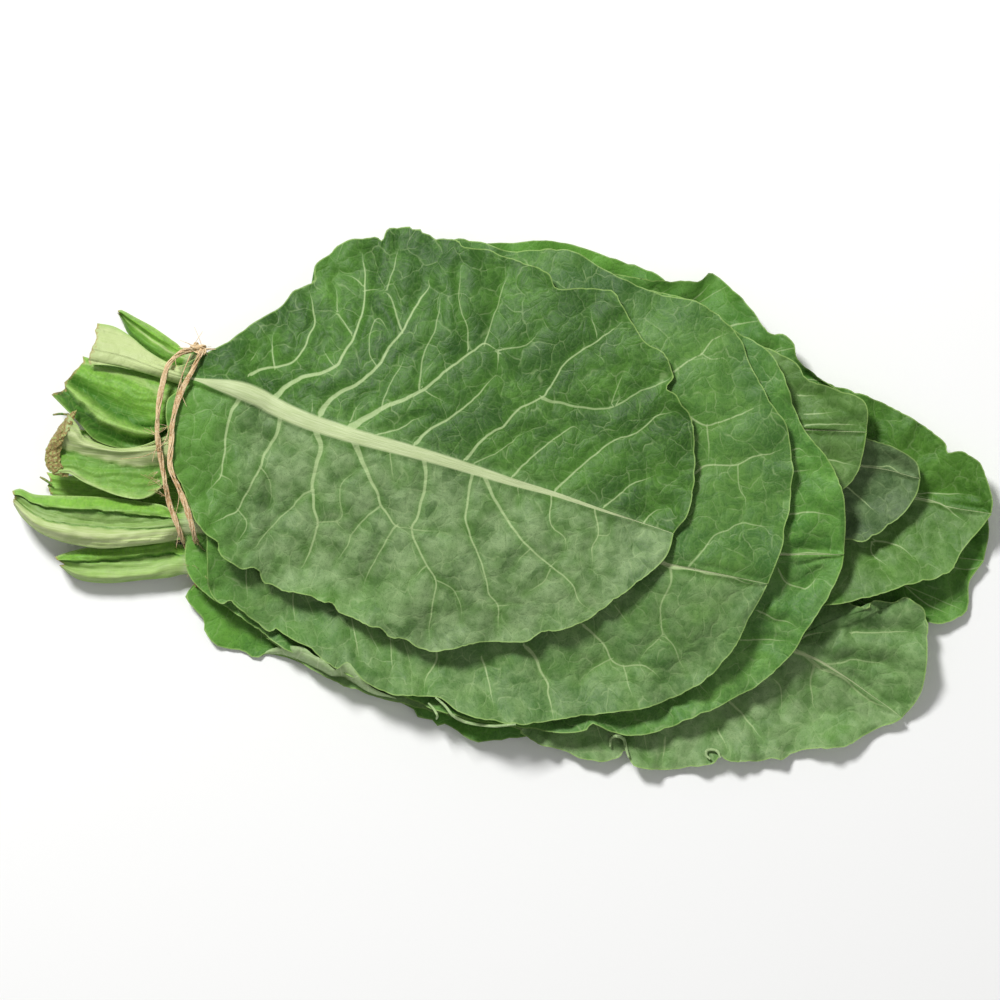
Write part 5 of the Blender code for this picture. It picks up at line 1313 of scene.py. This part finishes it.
def leafMaterial(name, finish):
    material, shader = newMaterial(name + "_skin")
    tree = material.node_tree
    tone = {key: fromScreen(value) for key, value in greens.items()}
    dark, light = fromScreen(finish["dark"]), fromScreen(finish["light"])
    place, spot = (put(tree, "ShaderNodeAttribute", attribute_name=key).outputs["Vector"]
                   for key in ("place", "spot"))
    ribRatio, rimAway, cutAway = threeParts(tree, "parts")
    isUnder, tint, waxAndSheen = threeParts(tree, "kinds")
    pale, greenLitShaded, onStem = threeParts(tree, "stems")
    broad = noise(tree, spot, 0.035)
    patches = noise(tree, spot, 0.14, 3.0)
    mottle = noise(tree, spot, 0.9, 3.0)
    grain = noise(tree, spot, 3.2)
    # Dark patches: painted shade in the dents of the blade, and dry patches at the cut end
    dentShadeAndDry = noise(tree, spot, 0.28, 4.0)

    # The net of veins is bent a little by a noise whose mean is a half
    nudge = noise(tree, place, 0.22, 1.0, "Color")
    nudge = put(tree, "ShaderNodeVectorMath", {0: nudge, 1: (0.5, 0.5, 0.5)}, operation="SUBTRACT")
    nudge = put(tree, "ShaderNodeVectorMath", {0: nudge.outputs[0], "Scale": 1.4}, operation="SCALE")
    bent = put(tree, "ShaderNodeVectorMath", {0: place, 1: nudge.outputs[0]}, operation="ADD").outputs[0]
    cellColour = cellPattern(tree, bent, 1.9 / blade["cell"], "Color")
    cellTone = put(tree, "ShaderNodeSeparateColor", {0: cellColour}).outputs[0]
    net, smallNet, tinyNet = (cellPattern(tree, bent, finer / blade["cell"], feature="DISTANCE_TO_EDGE")
                              for finer in (1, 2.7, 7.5))

    # The upper colour shows where the field fades from full to gone, by so much at most
    def layer(under, over, field, full, gone, most):
        return blend(tree, calc(tree, "MULTIPLY", fade(tree, field, full, gone), most), under, over)

    # Veins: the width that shows is a little more than the vein's own
    def veinMask(key, soft):
        signed, away, width = threeParts(tree, key + "Veins")
        edge = calc(tree, "SUBTRACT", calc(tree, "ABSOLUTE", signed), width)
        beside = calc(tree, "SUBTRACT", away, width)
        line = calc(tree, "MULTIPLY", fade(tree, edge, -0.25, soft), fade(tree, beside, 0.6, 1.4))
        return line, fade(tree, beside, 0.0, 3.2)

    mainLine, mainGlow = veinMask("main", 0.3)
    fineLine, fineGlow = veinMask("fine", 0.25)
    netLine = fade(tree, net, 0.0, 0.05)
    smallLine = fade(tree, smallNet, 0.0, 0.12)
    ribLine = fade(tree, calc(tree, "ABSOLUTE", ribRatio), 0.68, 1.04)

    # Green of the blade
    green = blend(tree, fade(tree, broad, 0.7, 0.35), dark, light)
    for field, full, gone, most, over in (
            (patches, 0.72, 0.45, 0.55, dark), (mottle, 0.66, 0.42, 0.4, light), (net, 0.5, 0.12, 0.25, dark),
            (cellTone, 0.95, 0.35, 0.4, dark), (cellTone, 0.05, 0.5, 0.3, light)):
        green = layer(green, over, field, full, gone, most)
    # Grey bloom: partly the leaf's waxy bloom, partly painted sheen and light on the half of the blade that
    # faces the light
    bloomSheenPatch = calc(tree, "MULTIPLY", fade(tree, noise(tree, spot, 0.09, 3.0), 0.66, 0.28), 0.7)
    bloomSheenPatch = calc(tree, "MULTIPLY_ADD", fade(tree, cellTone, 0.2, 0.9), 0.3, bloomSheenPatch)
    bloomSheenShare = calc(tree, "MULTIPLY", waxAndSheen, calc(tree, "MULTIPLY_ADD", bloomSheenPatch, 0.75, 0.25))
    green = blend(tree, bloomSheenShare, green, tone["bloomAndSheen"])
    # Painted shade in the dents of the blade, weaker under the bloom
    dentShadeShare = calc(tree, "MULTIPLY_ADD", waxAndSheen, -0.34, 0.5)  # weaker under the bloom
    green = layer(green, dark, dentShadeAndDry, 0.36, 0.56, dentShadeShare)
    crinkle = calc(tree, "SUBTRACT", noise(tree, place, 0.8, 1.0), 0.5)
    crinkleShare = calc(tree, "MULTIPLY", fade(tree, patches, 0.6, 0.45), 0.22)
    green = layer(green, light, calc(tree, "ABSOLUTE", crinkle), 0.0, 0.03, crinkleShare)
    # Fresher green where the tint is positive, painted shade where it is negative
    green = blend(tree, tint, green, tone["fresh"])
    green = blend(tree, calc(tree, "MULTIPLY", tint, -1.0), green, tone["shade"])
    green = layer(green, dark, grain, 0.4, 0.5, 0.2)
    green = blend(tree, calc(tree, "MULTIPLY", calc(tree, "MAXIMUM", mainGlow, fineGlow), 0.3), green, light)
    green = layer(green, tone["speck"], cellPattern(tree, spot, 0.55), 0.05, 0.12, 0.5)

    # Pale lines of the net and of the veins
    netShare = calc(tree, "MULTIPLY", netLine, fade(tree, patches, 0.7, 0.3))
    for line, share in ((smallLine, 0.16 * finish["net"]), (netShare, 0.75 * finish["net"]),
                        (fineLine, 0.6), (mainLine, 0.8)):
        green = blend(tree, calc(tree, "MULTIPLY", line, share), green, tone["vein"])

    # Midrib and petiole, with faint streaks along them
    across = put(tree, "ShaderNodeCombineXYZ", {0: calc(tree, "MULTIPLY", ribRatio, 3.0),
                                                1: calc(tree, "MULTIPLY", cutAway, 0.04)})
    streak = noise(tree, across.outputs[0], 2.5, 3.0)
    ribColour = layer(tone["rib"], tone["ribEdge"], streak, 0.65, 0.35, 0.6)
    petiole = layer(tone["petiole"], tone["petioleDeep"], streak, 0.68, 0.35, 0.6)
    # Green of the wings: brighter on lit ridges and darker in the painted shade of grooves
    wing = blend(tree, greenLitShaded, tone["wingDark"], tone["wing"])
    wing = layer(wing, light, mottle, 0.65, 0.4, 0.35)
    wing = blend(tree, calc(tree, "MULTIPLY", smallLine, 0.2), wing, tone["petioleDeep"])
    wing = layer(wing, tone["wingDark"], patches, 0.66, 0.4, 0.25)
    wing = layer(wing, tone["wingDark"], streak, 0.62, 0.35, 0.1)
    petiole = blend(tree, pale, wing, petiole)
    green = blend(tree, ribLine, green, ribColour)
    green = blend(tree, onStem, green, petiole)

    # Pale thin rim of the margin: partly its own paler edge, partly a painted highlight where light catches
    # it
    green = layer(green, tone["rim"], rimAway, 0.2, 0.7, 0.6)

    # Pale matte underside, on which the veins stand out
    below = layer(tone["under"], light, mottle, 0.7, 0.35, 0.2)
    below = blend(tree, calc(tree, "MULTIPLY", netLine, 0.55), below, tone["underVein"])
    below = blend(tree, calc(tree, "MAXIMUM", mainLine, fineLine), below, tone["underVein"])
    below = blend(tree, ribLine, below, ribColour)
    colour = blend(tree, isUnder, green, below)

    # Dry brown cut end
    uneven = calc(tree, "SUBTRACT", mottle, 0.5)
    torn = calc(tree, "MULTIPLY_ADD", uneven, 4.0, cutAway)
    colour = layer(colour, tone["cut"], torn, 0.2, 1.2, 0.75)
    dry = blend(tree, fade(tree, grain, 0.6, 0.4), tone["cut"], tone["cutDark"])
    for field, full, gone, most, over in (
            (mottle, 0.62, 0.5, 0.7, "petioleDeep"), (dentShadeAndDry, 0.4, 0.5, 0.5, "cutDark"),
            (cutAway, -0.9, -0.7, 0.45, "petiole")):
        dry = layer(dry, tone[over], field, full, gone, most)
    colour = blend(tree, fade(tree, cutAway, -0.6, 0.1), colour, dry)
    tree.links.new(colour, shader.inputs["Base Color"])

    # Gloss: the bloom with its painted sheen, and the underside, are duller
    dull = calc(tree, "MULTIPLY_ADD", bloomSheenShare, 0.1, 0.5)
    dull = calc(tree, "MULTIPLY_ADD", isUnder, 0.2, dull)
    dull = calc(tree, "MULTIPLY_ADD", uneven, 0.25, dull, clamp=True)
    tree.links.new(dull, shader.inputs["Roughness"])
    shader.inputs["Specular IOR Level"].default_value = 0.2

    # Relief too fine for the mesh: small net, grain and streaks, in millimetres
    relief = calc(tree, "MULTIPLY", fade(tree, smallNet, 0.3, 0.0), 0.06)
    for field, height in ((fade(tree, net, 0.16, 0.0), 0.08), (fade(tree, tinyNet, 0.3, 0.0), 0.02),
                          (grain, 0.025), (mottle, 0.05)):
        relief = calc(tree, "MULTIPLY_ADD", field, height, relief)
    relief = calc(tree, "MULTIPLY", relief, calc(tree, "SUBTRACT", 1.0, ribLine))
    relief = calc(tree, "MULTIPLY_ADD", calc(tree, "MULTIPLY", streak, ribLine), 0.2, relief)
    addRelief(tree, shader, calc(tree, "MULTIPLY", relief, millimetre))
    return material


raffia = {
    "clear": 0.8, "rise": 0.4, "sideClear": 3.2, "under": (1.15, 1.35), "overPoints": 40, "underPoints": 14,
    "width": 2.1, "thick": 1.0, "strands": 8, "strandRadius": 0.32, "twists": 7, "points": 260, "sides": 6,
    "diveAt": -39.0, "room": 2.8, "bed": ((-2.5, -1, 1, 2.5), (-1.5, 0, 1.5)),
    "light": (222, 194, 150), "dark": (190, 154, 108), "pale": (240, 226, 192),
    "fibres": 26,  # frayed ends along each winding, on its upper part
    "upperPart": 0.62,
    "frayed": [(-5.5, -12), (-4.5, -15), (-6.5, -8), (-3, -19), (-6.5, 8), (-1.5, 12), (0, 6)],
    "frayedFibres": 4,
    "routes": (
        [(12, 54), (8.5, 47), (3, 44.5), (-1.6, 39.6), (-4.1, 31.2), (-5.8, 21.1), (-6.6, 11), (-5.8, 2.6),
         (-4.1, -7.5), (-1.6, -21), (1.8, -31), (4.4, -38.5), (7.5, -46), (9.5, -58)],
        [(15.5, 56), (12.6, 45.4), (8.5, 36.2), (4.3, 27.8), (0.9, 16), (0, 5),
         (-0.8, -5.9), (2.6, -14.3), (6.8, -24.4), (9.3, -32.8), (10.2, -39), (12.5, -47), (13.5, -58)]),
    "knot": (11.5, 46.5), "knotLobes": 7, "knotFibres": 14,
    "upperPoints": 110,  # the first points of a winding, which run over the petioles
    "longFibre": [(8, 44), (4, 33), (1, 22), (-1, 12), (-4, 4), (-12, -1), (-23, -2.5)],
}


# Each point moves halfway towards the mean of its neighbours in the closed loop
def rounded(loop, times):
    for _ in range(times):
        loop = 0.25 * np.roll(loop, 1, axis=0) + 0.5 * loop + 0.25 * np.roll(loop, -1, axis=0)
    return loop


# Convex hull of the top side, from left to right
def upperHull(points):
    hull = []
    for p in sorted(map(tuple, points)):
        while len(hull) > 1:
            (ax, ay), (bx, by) = hull[-2:]
            if (bx - ax) * (p[1] - ay) - (by - ay) * (p[0] - ax) < 0:
                break
            hull.pop()
        hull.append(p)
    return np.array(hull)


# Before the leaf whose lobe lies over the windings is laid: what they lie on there, with room for them
def bedOfTie():
    bed = spread(pile, 1, np.max)
    for route in raffia["routes"]:
        line = smoothLine(route)
        line = line[line[:, 1] < raffia["diveAt"]]
        beside = np.array([(x, y) for x in raffia["bed"][0] for y in raffia["bed"][1]])
        cells = pileCells((line[:, None] + beside[None]).reshape(-1, 2))
        np.maximum.at(pile, cells, bed[cells] + raffia["room"])
    return bed


# Closed loop of a winding, over the petioles along its route and back beneath them, and the
# direction away from them
def windingLoop(route, clear, underHeight, bed):
    line = smoothLine(route)
    walked = lengthsAlong(line)
    dives = line[:, 1] < raffia["diveAt"]
    tops = np.where(dives, bed[pileCells(line)], spread(pile, 1, np.max)[pileCells(line)])
    inside = tops > 1
    low, high = walked[inside].min() - raffia["sideClear"], walked[inside].max() + raffia["sideClear"]
    hull = np.vstack([upperHull(np.column_stack([walked, tops + clear])[inside & part])
                      for part in (~dives, dives)])
    hull = np.vstack([(low, hull[0, 1] - 1), hull, (high, hull[-1, 1] - 1)])
    over = atLengths(hull, np.linspace(0, lengthsAlong(hull)[-1], raffia["overPoints"]))
    under = np.column_stack([np.linspace(high, low, raffia["underPoints"]),
                             np.full(raffia["underPoints"], underHeight)])
    loop = rounded(np.vstack([over, under]), 2)
    closed = np.vstack([loop, loop[:1]])
    wanted = np.linspace(0, lengthsAlong(closed)[-1], raffia["points"], endpoint=False)
    loop = rounded(atLengths(closed, wanted), 6)
    turn = np.roll(loop, -1, axis=0) - np.roll(loop, 1, axis=0)
    turn /= np.linalg.norm(turn, axis=1)[:, None]
    start, end = line[1] - line[0], line[-1] - line[-2]
    plan = atLengths(line, np.clip(loop[:, 0], 0, walked[-1]))
    plan += np.minimum(loop[:, :1], 0) * start / np.linalg.norm(start)
    plan += np.maximum(loop[:, :1] - walked[-1], 0) * end / np.linalg.norm(end)
    heading = atLengths(line, np.clip(loop[:, 0] + 1, 1, walked[-1]))
    heading -= atLengths(line, np.clip(loop[:, 0] - 1, 0, walked[-1] - 1))
    heading /= np.linalg.norm(heading, axis=1)[:, None]
    out = np.column_stack([-turn[:, 1:] * heading, turn[:, 0]])
    return np.column_stack([plan, loop[:, 1]]), out


# Tube along a path: its points and faces are added to the lists
def addTube(points, faces, path, radius, closed=False):
    path = np.asarray(path, float)
    count, sides = len(path), raffia["sides"]
    ahead = np.roll(path, -1, axis=0) if closed else np.vstack([path[1:], path[-1:]])
    behind = np.roll(path, 1, axis=0) if closed else np.vstack([path[:1], path[:-1]])
    tangent = ahead - behind
    tangent /= np.linalg.norm(tangent, axis=1)[:, None]
    first = np.cross(tangent, (0.31, 0.22, 0.92))
    first /= np.linalg.norm(first, axis=1)[:, None]
    second = np.cross(tangent, first)
    angles = 2 * math.pi * np.arange(sides) / sides
    radii = np.broadcast_to(np.asarray(radius, float), (count,))[:, None, None]
    ring = path[:, None] + radii * (np.cos(angles)[None, :, None] * first[:, None]
                                    + np.sin(angles)[None, :, None] * second[:, None])
    ring[..., 2] = np.maximum(ring[..., 2], 0.05)
    start = sum(len(p) for p in points)
    points.append(ring.reshape(-1, 3))
    index = start + np.arange(count * sides).reshape(count, sides)
    following = np.roll(index, -1, axis=0) if closed else index[1:]
    index = index if closed else index[:-1]
    side = np.stack([index, np.roll(index, -1, axis=1), np.roll(following, -1, axis=1), following], -1)
    faces.extend(side.reshape(-1, 4).tolist())
    if not closed:
        end = start + np.arange(sides)
        faces.extend([end[::-1].tolist(), (end + (count - 1) * sides).tolist()])


# Strands twisted round each other along a winding
def strandPaths(path, out, turn):
    tangent = np.roll(path, -1, axis=0) - np.roll(path, 1, axis=0)
    across = np.cross(tangent, out)
    across /= np.linalg.norm(across, axis=1)[:, None]
    circle = 2 * math.pi * np.arange(len(path)) / len(path)
    for n in range(raffia["strands"]):
        angle = (raffia["twists"] * circle + 2 * math.pi * n / raffia["strands"] + turn
                 + 0.5 * np.sin(3 * circle + n) + 0.3 * np.sin(7 * circle + 2 * n))
        loose = 1 + 0.22 * np.sin(5 * circle + 1.7 * n) + 0.12 * np.sin(13 * circle + n)
        near = (raffia["thick"] / 2 - 0.1) * (np.cos(angle) * loose)[:, None] * out
        wide = (raffia["width"] / 2 - 0.2) * (np.sin(angle) * loose)[:, None] * across
        yield path + near + wide


def raffiaMesh(bed):
    points, faces = [], []
    loops = [windingLoop(route, raffia["clear"] + n * raffia["rise"], raffia["under"][n], bed)
             for n, route in enumerate(raffia["routes"])]
    draw = np.random.default_rng(7)

    # Fibre that thins out towards its end
    def addFibre(path, s, thinnest, thickest, thins):
        addTube(points, faces, path, draw.uniform(thinnest, thickest) * (1 - thins * s[:, 0]))

    s = np.linspace(0, 1, 7)[:, None]
    for number, (path, out) in enumerate(loops):
        for strand in strandPaths(path, out, number):
            wobble = 1 + 0.2 * np.sin(np.arange(len(strand)) * 0.21 + draw.uniform(0, 6))
            addTube(points, faces, strand, raffia["strandRadius"] * wobble, closed=True)
        for _ in range(raffia["fibres"]):
            spot = draw.integers(0, int(len(path) * raffia["upperPart"]))
            along = path[(spot + 3) % len(path)] - path[spot]
            along /= np.linalg.norm(along)
            side = np.cross(along, out[spot])
            lean = draw.uniform(-1, 1)
            length = draw.uniform(3, 11)
            curl = draw.uniform(-0.5, 0.5)
            way = along * (1 if draw.random() < 0.5 else -1) + 0.7 * lean * side + 0.25 * out[spot]
            bent = s * way + curl * s**2 * side + 0.25 * s**2 * out[spot]
            addFibre(path[spot] + out[spot] * 0.5 + length * bent, s, 0.09, 0.19, 0.5)
    # Torn fibres that stand out to the sides of the windings
    for x, y in raffia["frayed"]:
        for _ in range(raffia["frayedFibres"]):
            heading = math.pi + draw.uniform(-0.9, 0.9)
            level = overPile(np.array([[x, y]]), 0.8, 2)[0]
            curl = draw.uniform(-2, 2)
            way = draw.uniform(3, 8) * s * (math.cos(heading), math.sin(heading), 0.1)
            bent = np.array([x, y, level]) + way + s**2 * np.array([0.3, curl, -1.2])
            addFibre(bent, s, 0.07, 0.13, 0.5)
    # Knot: the two ends hitched round both windings, and their short loose fibres
    height = 0
    for path, out in loops:
        away = np.hypot(*(path[:raffia["upperPoints"], :2] - raffia["knot"]).T)
        height = max(height, path[np.argmin(away), 2])
    centre = np.array([*raffia["knot"], height + 0.6])
    t = np.linspace(0, 2 * math.pi, 90, endpoint=False)
    for n in range(raffia["knotLobes"]):
        turn = 0.42 * n
        size = 1 + 0.13 * math.sin(2.4 * n)
        lobe = np.column_stack([(np.sin(t) + 1.5 * np.sin(2 * t + turn)) * 1.35 * size,
                                (np.cos(t) - 1.2 * np.cos(2 * t)) * 0.95 * size, -np.sin(3 * t + turn) * 0.9])
        addTube(points, faces, centre + lobe + draw.uniform(-0.4, 0.4, 3), 0.33, closed=True)
    s = np.linspace(0, 1, 8)[:, None]
    for n in range(raffia["knotFibres"]):
        heading = draw.uniform(-0.7, 0.8) if n % 2 else math.pi + draw.uniform(-0.5, 0.7)
        length = draw.uniform(4, 10)
        way = np.array([math.cos(heading), math.sin(heading), draw.uniform(-0.1, 0.25)])
        drop = np.array([0, 0, -1.0]) * draw.uniform(0.5, 2.5)
        addFibre(centre + length * s * way + s**2 * drop, s, 0.12, 0.26, 0.6)
    # One long loose fibre over the petioles
    long = smoothLine(raffia["longFibre"], 6)
    over = overPile(long, 0.5, 2)
    for _ in range(4):
        over = np.maximum(over, np.convolve(np.pad(over, 1, "edge"), (0.25, 0.5, 0.25), "valid"))
    addTube(points, faces, np.column_stack([long, over]), np.linspace(0.26, 0.1, len(long)))
    mesh = bpy.data.meshes.new("raffia_fibres")
    mesh.from_pydata(settled(np.vstack(points)).tolist(), [], faces)
    mesh.shade_smooth()
    return mesh


def raffiaMaterial():
    material, shader = newMaterial("raffia_fibre")
    tree = material.node_tree
    dark, light, pale = (fromScreen(raffia[key]) for key in ("dark", "light", "pale"))
    place = put(tree, "ShaderNodeTexCoord").outputs["Object"]
    noises = [put(tree, "ShaderNodeTexNoise", {"Vector": place, "Scale": scale, "Detail": 3.0})
              for scale in (160.0, 1100.0)]
    broad, fine = (node.outputs["Fac"] for node in noises)
    colour = blend(tree, fade(tree, broad, 0.62, 0.38), dark, light)
    colour = blend(tree, calc(tree, "MULTIPLY", fade(tree, fine, 0.7, 0.45), 0.6), colour, pale)
    tree.links.new(colour, shader.inputs["Base Color"])
    shader.inputs["Roughness"].default_value = 0.75
    addRelief(tree, shader, calc(tree, "MULTIPLY", fine, 0.1 * millimetre))
    return material


stage = {
    "cameraHeight": 2.5, "cameraPlan": (-0.00126, 0.00094), "lens": 201.8, "sensor": 36.0,
    "floorSize": 8.0, "floor": (246, 246, 245),
    "keyPlace": (-0.8, 1.3, 1.9), "keySize": 0.45, "keyPower": 60.0,
    "fillPlace": (1.4, -0.6, 2.2), "fillSize": 2.0, "fillPower": 6.0,
    "sky": 0.27,
}


def addLight(name, place, size, power):
    light = bpy.data.lights.new(name, "AREA")
    light.energy, light.size = power, size
    lamp = bpy.data.objects.new(name, light)
    lamp.location = place
    lamp.rotation_euler = (-Vector(place)).to_track_quat("-Z", "Y").to_euler()
    bpy.context.scene.collection.objects.link(lamp)


def setStage():
    camera = bpy.data.objects.new("camera", bpy.data.cameras.new("camera"))
    camera.data.lens, camera.data.sensor_width = stage["lens"], stage["sensor"]
    camera.location = (*stage["cameraPlan"], stage["cameraHeight"])
    camera.data.clip_start, camera.data.clip_end = 0.05, 30.0
    bpy.context.scene.collection.objects.link(camera)
    bpy.context.scene.camera = camera
    half = stage["floorSize"] / 2
    mesh = bpy.data.meshes.new("floor")
    corners = [(-half, -half, 0), (half, -half, 0), (half, half, 0), (-half, half, 0)]
    mesh.from_pydata(corners, [], [(0, 1, 2, 3)])
    floor = bpy.data.objects.new("floor", mesh)
    bpy.context.scene.collection.objects.link(floor)
    material, shader = newMaterial("pale_floor")
    shader.inputs["Base Color"].default_value = fromScreen(stage["floor"])
    shader.inputs["Roughness"].default_value = 0.9
    mesh.materials.append(material)
    addLight("key", stage["keyPlace"], stage["keySize"], stage["keyPower"])
    addLight("fill", stage["fillPlace"], stage["fillSize"], stage["fillPower"])
    world = bpy.data.worlds.new("studio")
    bpy.context.scene.world = world
    world.use_nodes = True
    world.node_tree.nodes["Background"].inputs["Color"].default_value = (1, 1, 1, 1)
    world.node_tree.nodes["Background"].inputs["Strength"].default_value = stage["sky"]
    bpy.context.scene.view_settings.view_transform = "Standard"


setStage()
print("set the floor, the lights and the camera")

leaves = {}
for number, name in enumerate(leafShapes):
    if name == "leaf_3":
        tieBed = bedOfTie()
    leaves[name] = layLeaf(name, number)
print("laid", len(leaves), "leaves on each other")


def triangles(mesh):
    return sum(len(face.vertices) - 2 for face in mesh.polygons)


for name, leaf in leaves.items():
    finish = leafFinish[name]
    mesh = leafMesh(name, leaf, finish["bloomAndSheen"], carriedForms(name, leaf))
    addPiece(name + "_fine", mesh, name, finish["slot"], leafMaterial(name, finish))
    print("made", name, "with", triangles(mesh), "triangles")

tie = addPiece("raffia_tie_fibres", raffiaMesh(tieBed), "raffia_tie", "raffia", raffiaMaterial())
print("tied the bunch with", triangles(tie.data), "triangles")
